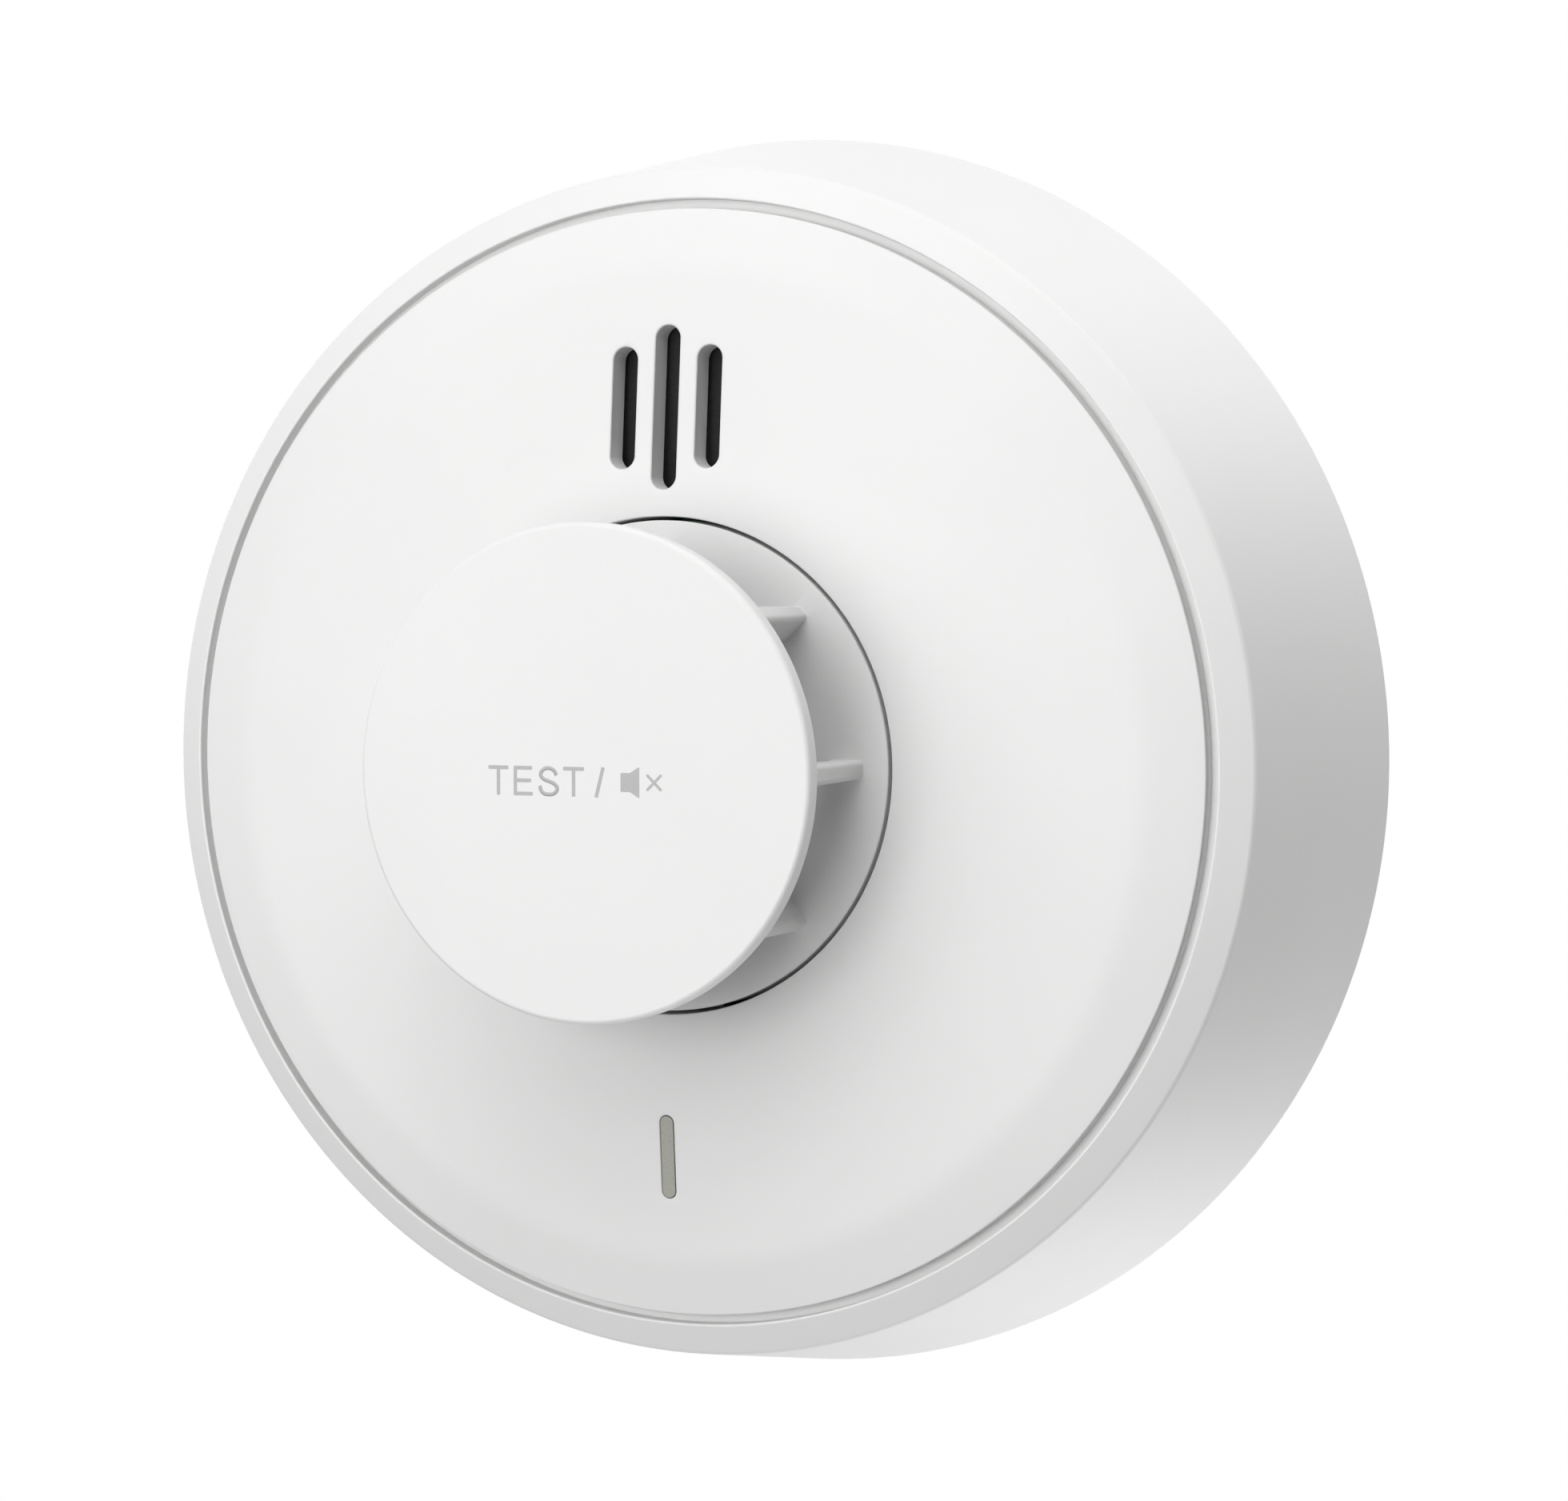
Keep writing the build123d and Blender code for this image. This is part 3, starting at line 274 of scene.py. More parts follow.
class AlarmHub(bpy.types.PropertyGroup):
    """Sizes of the button hub, its vanes and the screen inside it"""

    cap_radius: length("Disc radius", "Radius of the button disc", reach("button_cap"))
    cap_top: length("Disc top", "Height of the button disc's face", top("button_cap"))
    cap_thickness: length("Disc thickness", "Thickness of the button disc", 1.55 * MM)
    cap_round: length("Disc front round", "How far back the disc's front edge is rounded", 0.4 * MM)
    cap_back_round: length("Disc back round", "How far back the disc's rear edge is rounded", 0.2 * MM)
    spigot_radius: length("Spigot radius", "Outside radius of the ring behind the disc", 14.0 * MM)
    spigot_wall: length("Spigot wall", "Thickness of the ring behind the disc", 1.2 * MM)
    spigot_depth: length("Spigot depth", "Depth of the ring behind the disc", 1.0 * MM)
    hub_radius: length("Hub radius", "Radius of the hub's flange", 19.42 * MM)
    hub_seam: length("Hub seam", "Gap between the flange and the cover", 0.3 * MM)
    hub_wall: length("Hub wall", "Thickness of the flange's skirt", 1.3 * MM)
    flange_bore: length("Flange bore", "Radius of the hole round the insect screen", 13.5 * MM)
    flange_thickness: length("Flange thickness", "Thickness of the flange at its rim", 2.2 * MM)
    flange_slope: amount("Flange slope", "Rise of the flange per length towards the middle", 0.131)
    flange_round: length("Flange bore round", "How far back the bore's edge is rounded", 0.3 * MM)
    button_travel: length("Button travel", "How far the button goes in", 0.5 * MM)
    vane_count: count("Vanes", "Number of vanes under the disc", 8)
    vane_inner: length("Vane inner radius", "Radius at which a vane starts", 14.1 * MM)
    vane_outer: length("Vane outer radius", "Radius at which a vane ends", 17.4 * MM)
    vane_thickness: length("Vane thickness", "Thickness of a vane under the disc", 1.8 * MM)
    vane_round: length("Vane round", "Rounding of a vane's edges", 0.5 * MM)
    vane_foot: length("Vane foot", "Flare of a vane where it meets the flange", 0.15 * MM)
    vane_draft: amount("Vane draft", "Thickness of a vane at its foot against its top", 0.8)
    vane_ring_wall: length("Vane ring wall", "Thickness of the ring that joins the vanes", 1.4 * MM)
    vane_ring_height: length("Vane ring height", "Height of the ring that joins the vanes", 1.2 * MM)
    hook_width: length("Hook width", "Width of a hook that keeps the hub in", 5.0 * MM)
    hook_reach: length("Hook reach", "How far a hook reaches under the collar", 1.4 * MM)
    hook_height: length("Hook height", "Height of a hook", 1.2 * MM)
    spring_circle: length("Spring circle", "Distance of the return springs from the middle", 15.8 * MM)
    spring_post: length("Spring post", "Radius of a post inside a return spring", 1.1 * MM)
    spring_post_foot: length("Spring post foot", "Height of a spring post's foot", 19.5 * MM)
    switch_offset: length("Switch offset", "Distance of the switch from the middle", 15.4 * MM)
    screen_radius: length("Screen radius", "Radius of the insect screen", reach("insect_screen"))
    screen_top: length("Screen top", "Height of the insect screen's upper edge", top("insect_screen"))
    screen_bottom: length("Screen bottom", "Height of the insect screen's foot", 26.0 * MM)
    screen_sheet: length("Screen sheet", "Thickness of the insect screen", 0.12 * MM)
    screen_border: length("Screen border", "Plain strip along each edge of the screen", 0.9 * MM)
    screen_columns: count("Screen columns", "Holes round the insect screen", 120)
    screen_rows: count("Screen rows", "Holes up the insect screen", 14)
    screen_bar: length("Screen bar", "Width of a bar between two holes", 0.11 * MM)


class AlarmPrint(bpy.types.PropertyGroup):
    """Sizes of the printed function marking on the disc"""

    letter_stroke: length("Letter stroke", "Width of the strokes of the letters", 0.29 * MM)
    cross_stroke: length("Cross stroke", "Width of the strokes of the cross", 0.22 * MM)
    corner_round: length("Corner round", "Rounding of the print's corners", 0.05 * MM)
    film: length("Film", "How far the print stands above the disc", 0.015 * MM)
    base_line: length("Base line", "Height of the letters' feet against the middle", -1.73 * MM)


class AlarmFinish(bpy.types.PropertyGroup):
    """Colours and grain of what shows"""

    housing: colour("Housing", "White moulded plastic", (0.77, 0.77, 0.767))
    plate: colour("Plate", "White plastic of the mounting plate and rear cover", (0.77, 0.77, 0.763))
    print_ink: colour("Print", "Grey of the printed marking", (0.42, 0.42, 0.42))
    lens: colour("Lens", "Smoke-tinted light pipe", (0.36, 0.36, 0.32))
    grain_size: length("Grain size", "Size of the plastic's eroded grain", 0.2 * MM)
    grain_depth: length("Grain depth", "Depth of the plastic's eroded grain", 0.006 * MM)
    white_roughness: amount("Roughness", "Roughness of the white plastic", 0.6)


class AlarmStage(bpy.types.PropertyGroup):
    """Camera, lamps and floor"""

    lens: amount("Lens", "Focal length in millimetres", 89.55)
    azimuth: turn("Azimuth", "Camera's angle to the right of straight on", 24.28)
    elevation: turn("Elevation", "Camera's angle above level", 2.468)
    distance: length("Distance", "Distance of the camera", 333.0 * MM)
    shift_right: length("Shift right", "How far right the camera is moved", -1.27 * MM)
    shift_up: length("Shift up", "How far up the camera is moved", 0.18 * MM)
    ambient: amount("Ambient", "Strength of the light from all round", 0.02)
    floor_drop: length("Floor drop", "Distance of the floor below the middle", 0.5)
    floor_radius: length("Floor radius", "Radius of the floor", 0.9)
    floor_fade: length("Floor fade", "Radius at which the floor starts to fade", 0.4)
    floor_colour: colour("Floor", "Colour of the floor", (0.8, 0.8, 0.8))


GROUPS = {
    "alarm_shell": AlarmShell,
    "alarm_plate": AlarmPlate,
    "alarm_hub": AlarmHub,
    "alarm_print": AlarmPrint,
    "alarm_finish": AlarmFinish,
    "alarm_stage": AlarmStage,
}

# The print's straight and curved strokes and the speaker's outline, as x and height above the base line in millimetres
LETTER_BARS = (
    ((-7.81, 2.115), (-6.09, 2.115)),
    ((-6.95, 2.15), (-6.95, 0.0)),
    ((-5.485, 2.25), (-5.485, 0.0)),
    ((-5.60, 2.115), (-4.04, 2.115)),
    ((-5.60, 1.155), (-4.13, 1.155)),
    ((-5.60, 0.14), (-3.99, 0.14)),
    ((-1.37, 2.115), (0.40, 2.115)),
    ((-0.485, 2.15), (-0.485, 0.0)),
    ((1.43, -0.02), (2.03, 2.27)),
)
LETTER_CURVE = (
    (-1.944, 1.598), (-2.167, 1.946), (-2.656, 2.136), (-3.144, 1.946), (-3.299, 1.643), (-3.101, 1.332),
    (-2.587, 1.127), (-2.124, 0.923), (-1.884, 0.597), (-2.073, 0.263), (-2.621, 0.126), (-3.170, 0.293),
    (-3.384, 0.763),
)
SPEAKER = ((3.5, 0.45), (4.3, 0.45), (5.08, -0.03), (5.08, 2.37), (4.3, 1.89), (3.5, 1.89))
CROSS = (((5.70, 0.59), (6.94, 1.79)), ((5.70, 1.79), (6.94, 0.59)))

# Name, colour, roughness, size and depth of the grain in millimetres, and the nodes that wear it
MOULDED = (
    ("black_chamber", (0.02, 0.02, 0.022), 0.75, 0.25, 0.01, ("chamber_base", "labyrinth")),
    ("black_switch", (0.03, 0.03, 0.03), 0.4, 0.3, 0.003, ("switch_body", "switch_plunger")),
    ("grey_cup", (0.1, 0.1, 0.105), 0.5, 0.3, 0.004, ("sounder_cup",)),
    ("black_package", (0.03, 0.03, 0.032), 0.6, 0.08, 0.004, ("microcontroller",)),
    ("grey_ferrite", (0.1, 0.1, 0.11), 0.55, 0.1, 0.008, ("boost_inductor",)),
    ("ceramic_wafer", (0.62, 0.6, 0.55), 0.4, 0.1, 0.003, ("sounder_wafer",)),
    ("ceramic_chips", (0.45, 0.33, 0.2), 0.4, 0.1, 0.003, ("chip_capacitors",)),
    ("sleeve_film", (0.1, 0.13, 0.2), 0.3, 1.5, 0.004, ("battery_cell",)),
    ("black_foam", (0.05, 0.05, 0.05), 0.9, 0.25, 0.08, ("sounder_gasket",)),
    ("green_mask", (0.02, 0.16, 0.07), 0.35, 1.2, 0.01, ("circuit_board",)),
    ("yellow_resin", (0.8, 0.74, 0.35), 0.25, 0.2, 0.002, ("indicator_led",)),
    ("blue_resin", (0.1, 0.14, 0.28), 0.15, 0.5, 0.001, ("infrared_emitter",)),
    ("dark_resin", (0.03, 0.02, 0.03), 0.15, 0.5, 0.001, ("photodiode",)),
    # Near-black gauze under the sounder slots: partly its own dark colour, partly painted shade that darkens the slots
    # deep inside
    ("black_gauze", (0.02, 0.02, 0.02), 0.9, 0.2, 0.05, ("slot_gauze",)),
)

# Name, colour, roughness, size of the streaks in millimetres, how they are drawn out, and the nodes that wear it
WORKED = (
    ("steel_screws", (0.62, 0.62, 0.6), 0.3, 0.4, (1.0, 1.0, 1.0), ("housing_screws", "board_screws")),
    ("steel_springs", (0.6, 0.6, 0.6), 0.3, 0.2, (1.0, 1.0, 5.0), ("sounder_contacts",)),
    ("nickel_tabs", (0.66, 0.64, 0.58), 0.35, 0.15, (12.0, 1.0, 1.0), ("battery_tabs",)),
    ("aluminium_can", (0.72, 0.72, 0.73), 0.3, 0.15, (1.0, 8.0, 1.0), ("storage_capacitor",)),
    ("brass_disc", (0.7, 0.53, 0.24), 0.32, 0.2, (8.0, 1.0, 1.0), ("sounder_disc",)),
)
SCREEN_STEEL = ("steel_mesh", (0.45, 0.45, 0.46), 0.35, 0.3, (1.0, 6.0, 1.0))

# Name, azimuth and elevation in degrees, distance and size in metres, power in watts
LAMPS = (
    ("front", 0, 0, 0.8, 0.5, 2.47),
    ("key_left", -20, 15, 0.45, 0.4, 0.72),
    ("key_high", 20, 45, 0.45, 0.4, 0.54),
    ("key_top", 0, 60, 0.45, 0.4, 0.57),
    ("low_soft", 10, -38, 0.6, 0.3, 0.09),
    ("rim_high", 125, 45, 0.6, 0.5, 2.5),
    ("rim_under", 150, -54, 0.42, 0.3, 1.15),
    ("rim_left", -120, 20, 0.5, 0.4, 1.0),
    ("back", 180, 15, 0.6, 0.4, 0.2),
)

# ---------------------------------------------------------------- shaping


def faced(shape):
    """The shape with its faces turned outwards."""
    bmesh.ops.recalc_face_normals(shape, faces=shape.faces)
    return shape


def rounded(shape, geom, offset, steps, affect="VERTICES"):
    """The shape with these corners or edges rounded off."""
    bmesh.ops.bevel(
        shape, geom=geom, offset=offset, offset_type="OFFSET", segments=steps, profile=0.5, affect=affect, material=-1
    )
    return shape


def raised(shape, faces, vec):
    """The shape made solid: these faces, their copies moved by vec, and walls between the two."""
    made = bmesh.ops.extrude_face_region(shape, geom=faces, use_keep_orig=True)["geom"]
    lifted = [part for part in made if isinstance(part, bmesh.types.BMVert)]
    bmesh.ops.translate(shape, verts=lifted, vec=vec)
    return faced(shape)


def wire(corners, closed):
    """A profile in the radial plane. A corner is (radius, height), then optionally its cut-back and its steps."""
    shape = bmesh.new()
    verts = [shape.verts.new((corner[0], -corner[1], 0.0)) for corner in corners]
    for first, second in zip(verts, verts[1:] + verts[:1] if closed else verts[1:]):
        shape.edges.new((first, second))
    for vert, corner in zip(verts, corners):
        if len(corner) > 2:
            rounded(shape, [vert], corner[2], corner[3] if len(corner) > 3 else ROUND_STEPS)
    return shape


def moved(shape, x=0.0, height=0.0, z=0.0):
    """The shape, shifted along the wall by x and z and out of it by height."""
    bmesh.ops.translate(shape, verts=shape.verts, vec=(x, -height, z))
    return shape


def turned(shape, angle):
    """The shape, turned about the axis from +X towards +Z."""
    bmesh.ops.rotate(shape, verts=shape.verts, cent=MIDDLE, matrix=Matrix.Rotation(-angle, 3, "Y"))
    return shape


def swept(shape, angle, steps, **options):
    """The shape's lines, swept about the axis into faces."""
    lines = shape.verts[:] + shape.edges[:]
    bmesh.ops.spin(shape, geom=lines, cent=MIDDLE, axis=OUTWARD, angle=angle, steps=steps, **options)
    bmesh.ops.remove_doubles(shape, verts=shape.verts, dist=SAME_PLACE)
    return shape


def spun(corners, closed=True, steps=TURN_STEPS):
    """The profile turned once round the axis. An open profile starts and ends on the axis."""
    return faced(swept(wire(corners, closed), math.tau, steps, use_merge=True))


def repeated(shape, number):
    """The shape and its copies, evenly round the axis."""
    share = (number - 1) / number
    parts = shape.verts[:] + shape.edges[:] + shape.faces[:]
    bmesh.ops.spin(
        shape, geom=parts, cent=MIDDLE, axis=OUTWARD, angle=math.tau * share, steps=number - 1, use_duplicate=True
    )
    return shape


def prism(corners, width):
    """A profile in the radial plane, made solid by this width across it."""
    shape = wire(corners, True)
    face = bmesh.ops.contextual_create(shape, geom=shape.edges[:])["faces"]
    return raised(moved(shape, z=-width / 2), face, (0.0, 0.0, width))


def sector(corners, start, span, steps):
    """A profile in the radial plane, swept through part of a turn and closed at both ends."""
    shape = swept(turned(wire(corners, True), start), span, steps)
    bmesh.ops.holes_fill(shape, edges=shape.edges[:], sides=0)
    return faced(shape)


def rise(slope, axis=2):
    """A shear that lifts points out of the wall by slope for each length along the axis, X being 0 and Z 2."""
    shear = Matrix.Identity(4)
    shear[1][axis] = -slope
    return shear


def stadium(corners, run, slope=0.0):
    """A round shape from an open profile, drawn out along Z by run and sheared so that it rises by slope along Z."""
    shape = swept(turned(wire(corners, False), math.pi / SLOT_STEPS), math.tau, SLOT_STEPS, use_merge=True)
    for side in (-1, 1):
        half = [vert for vert in shape.verts if vert.co.z * side > SAME_PLACE]
        bmesh.ops.translate(shape, verts=half, vec=(0.0, 0.0, side * run / 2))
    bmesh.ops.transform(shape, verts=shape.verts, matrix=rise(slope))
    return faced(shape)


def piece_from(shape, name):
    """A new object that holds the shape."""
    mesh = bpy.data.meshes.new(name)
    shape.to_mesh(mesh)
    shape.free()
    piece = bpy.data.objects.new(name, mesh)
    bpy.context.scene.collection.objects.link(piece)
    return piece


def mesh_of(thing):
    """A new mesh of the object as its modifiers or its curve make it."""
    bpy.context.view_layer.update()
    return bpy.data.meshes.new_from_object(thing.evaluated_get(bpy.context.evaluated_depsgraph_get()))


def combined(piece, shape, operation):
    """The piece after a shape has been joined to it or cut from it."""
    tool = piece_from(shape, "tool")
    step = piece.modifiers.new("combine", "BOOLEAN")
    step.operation = operation
    step.solver = "EXACT"
    step.object = tool
    made = mesh_of(piece)
    piece.modifiers.clear()
    old, piece.data = piece.data, made
    name, spare = old.name, tool.data
    bpy.data.objects.remove(tool)
    bpy.data.meshes.remove(old)
    bpy.data.meshes.remove(spare)
    made.name = name
    return piece


def joined(piece, *shapes):
    """The piece with each shape joined on."""
    for shape in shapes:
        combined(piece, shape, "UNION")
    return piece


def cut(piece, *shapes):
    """The piece with each shape cut out."""
    for shape in shapes:
        combined(piece, shape, "DIFFERENCE")
    return piece


def shaded(piece):
    """Smooth shading up to the sharp angle, with the large faces kept flat."""
    shape = bmesh.new()
    shape.from_mesh(piece.data)
    for face in shape.faces:
        face.smooth = True
    for edge in shape.edges:
        edge.smooth = len(edge.link_faces) == 2 and edge.calc_face_angle(math.pi) < SHARP_EDGE
    shape.to_mesh(piece.data)
    shape.free()
    weights = piece.modifiers.new("weights", "WEIGHTED_NORMAL")
    weights.keep_sharp = True
    return piece


def dressed(piece, material, body, slot, *nodes):
    """A finished piece: its material, the body it rides on and the nodes it stands for. The slot argument is not used.
    """
    piece.data.materials.clear()
    piece.data.materials.append(material)
    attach(piece, body)
    if nodes:
        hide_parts(*nodes)
    return piece


# ---------------------------------------------------------------- finishes


def feed(tree, target, inputs):
    """Sets inputs of a shader node, each to a value or linked from a socket."""
    for name, value in inputs.items():
        if isinstance(value, bpy.types.NodeSocket):
            tree.links.new(value, target.inputs[name])
        else:
            target.inputs[name].default_value = value


def node(tree, kind, inputs, **settings):
    """A new shader node of this kind."""
    made = tree.nodes.new("ShaderNode" + kind)
    for name, value in settings.items():
        setattr(made, name, value)
    feed(tree, made, inputs)
    return made


def new_finish(name, base, roughness, metallic=0.0):
    """A material, its tree, its shader and coordinates in millimetres on the piece."""
    material = bpy.data.materials.new(name)
    material.use_nodes = True
    material.diffuse_color = (*base, 1.0)
    tree = material.node_tree
    shader = tree.nodes["Principled BSDF"]
    feed(tree, shader, {"Base Color": (*base, 1.0), "Roughness": roughness, "Metallic": metallic})
    place = node(tree, "TexCoord", {})
    scale = node(tree, "Mapping", {"Vector": place.outputs["Object"], "Scale": (1 / MM, 1 / MM, 1 / MM)})
    return material, tree, shader, scale.outputs["Vector"]


def noise(tree, where, size, detail=2.0, stretch=(1.0, 1.0, 1.0)):
    """Noise whose features are about this many millimetres across, drawn out by stretch."""
    scale = tuple(1.0 / (size * factor) for factor in stretch)
    spread = node(tree, "Mapping", {"Vector": where, "Scale": scale})
    made = node(tree, "TexNoise", {"Vector": spread.outputs["Vector"], "Scale": 1.0, "Detail": detail})
    return made.outputs["Fac"]


def ranged(tree, value, low, high, start=0.0, end=1.0):
    """The value mapped from start..end to low..high."""
    limits = {"From Min": start, "From Max": end, "To Min": low, "To Max": high}
    return node(tree, "MapRange", {"Value": value, **limits}).outputs["Result"]


def blended(tree, factor, first, second):
    """A colour between two. A mix node has them in its sockets 6 and 7, and what it makes in its output 2."""
    inputs = {"Factor": factor, 6: (*first, 1.0), 7: (*second, 1.0)}
    return node(tree, "Mix", inputs, data_type="RGBA").outputs[2]


def textured(tree, shader, colour_socket, height, depth):
    """Gives the shader its colour, and raises its surface by up to depth metres where height is 1."""
    bump = node(tree, "Bump", {"Strength": 1.0, "Distance": depth, "Height": height})
    feed(tree, shader, {"Base Color": colour_socket, "Normal": bump.outputs["Normal"]})


def shade(base, factor):
    """A colour made lighter or darker."""
    return tuple(min(1.0, part * factor) for part in base)


def moulded_plastic(name, base, roughness, grain_size, grain_depth):
    """Moulded plastic with a fine eroded grain, a faint drift of its colour and an uneven sheen."""
    material, tree, shader, where = new_finish(name, base, roughness)
    grain = noise(tree, where, grain_size / MM, detail=GRAIN_DETAIL)
    drift = ranged(tree, noise(tree, where, DRIFT_SIZE), 0.0, 1.0, *TONE_RANGE)
    textured(tree, shader, blended(tree, drift, base, shade(base, DRIFT_TONE)), grain, grain_depth)
    sheen = ranged(tree, grain, roughness - SHEEN_SWING, roughness + SHEEN_SWING, *SHEEN_RANGE)
    feed(tree, shader, {"Roughness": sheen})
    return material


def worked_metal(name, base, roughness, size, stretch):
    """Rolled, drawn or plated metal with streaks along its working direction."""
    material, tree, shader, where = new_finish(name, base, roughness, metallic=1.0)
    streaks = noise(tree, where, size, detail=STREAK_DETAIL, stretch=stretch)
    tone = ranged(tree, streaks, 0.0, 1.0, *SHEEN_RANGE)
    textured(tree, shader, blended(tree, tone, shade(base, STREAK_TONE), base), streaks, STREAK_DEPTH)
    sheen = ranged(tree, streaks, roughness + ROUGHER, roughness - SMOOTHER, *SHEEN_RANGE)
    feed(tree, shader, {"Roughness": sheen})
    return material


def printing_ink(name, base):
    """Matt ink with a fine speckle."""
    material, tree, shader, where = new_finish(name, base, INK_ROUGHNESS)
    speckle = noise(tree, where, SPECKLE_SIZE)
    tone = ranged(tree, speckle, 0.0, 1.0, *TONE_RANGE)
    dark, light = (shade(base, factor) for factor in SPECKLE_TONES)
    textured(tree, shader, blended(tree, tone, dark, light), speckle, SPECKLE_DEPTH)
    return material


def white(name, tone="housing"):
    """White moulded plastic in one of the finish's tones, made once under this name."""
    finish = bpy.context.scene.alarm_finish
    return bpy.data.materials.get(name) or moulded_plastic(
        name, tuple(getattr(finish, tone)), finish.white_roughness, finish.grain_size, finish.grain_depth
    )


def paint(nodes, material):
    """Gives nodes of the frame a material."""
    for name in nodes:
        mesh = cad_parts[name].data
        mesh.materials.clear()
        mesh.materials.append(material)


# ---------------------------------------------------------------- operators


class AlarmPiece:
    """What every operator of the alarm shares"""

    bl_options = {"REGISTER", "UNDO"}


class ALARM_OT_drum(AlarmPiece, bpy.types.Operator):
    """Build the tapered drum with its chamfer, ledge and screw bosses"""

    bl_idname = "alarm.drum"
    bl_label = "Drum"

    def execute(self, context):
        shell = context.scene.alarm_shell
        front = shell.drum_radius - shell.drum_draft
        lip = front - shell.chamfer_width
        ledge_height = shell.lip_height - shell.groove_depth
        ledge_foot = ledge_height - shell.ledge_thickness
        ledge = lip - shell.groove_width - shell.ledge_seat
        taper = shell.drum_draft / (shell.shoulder_height - shell.wall_gap)
        wall_foot = shell.drum_radius - shell.drum_wall
        inner = wall_foot - taper * (ledge_foot - shell.wall_gap)
        profile = [
            (shell.drum_radius, shell.wall_gap, SOFT),
            (front, shell.shoulder_height, shell.shoulder_round),
            (lip, shell.lip_height, shell.lip_round),
            (lip, ledge_height),
            (ledge, ledge_height, FINE),
            (ledge, ledge_foot),
            (inner, ledge_foot, WIDE),
            (wall_foot, shell.wall_gap, SOFT),
        ]
        drum = piece_from(spun(profile), "drum_shell")
        root = ledge_foot + SUNK
        profile = [
            (0.0, root),
            (shell.boss_radius, root),
            (shell.boss_radius, shell.boss_foot, SOFT),
            (shell.boss_bore, shell.boss_foot, FINE),
            (shell.boss_bore, shell.boss_bore_top),
            (0.0, shell.boss_bore_top),
        ]
        boss = moved(spun(profile, closed=False, steps=BOSS_STEPS), x=shell.boss_pitch)
        inner_at_foot = wall_foot - taper * (shell.boss_foot - shell.wall_gap)
        start, foot = shell.boss_pitch + shell.boss_bore + SUNK, shell.boss_foot + SOFT
        into_wall = shell.drum_wall / 4
        profile = [(start, foot), (inner_at_foot + into_wall, foot), (inner + into_wall, root), (start, root)]
        for shape in (boss, prism(profile, shell.boss_rib)):
            joined(drum, repeated(turned(shape, math.radians(BOSS_TURN)), BOSS_COUNT))
        dressed(shaded(drum), white("white_housing"), "head", "housing_white", "outer_housing")
        return {"FINISHED"}


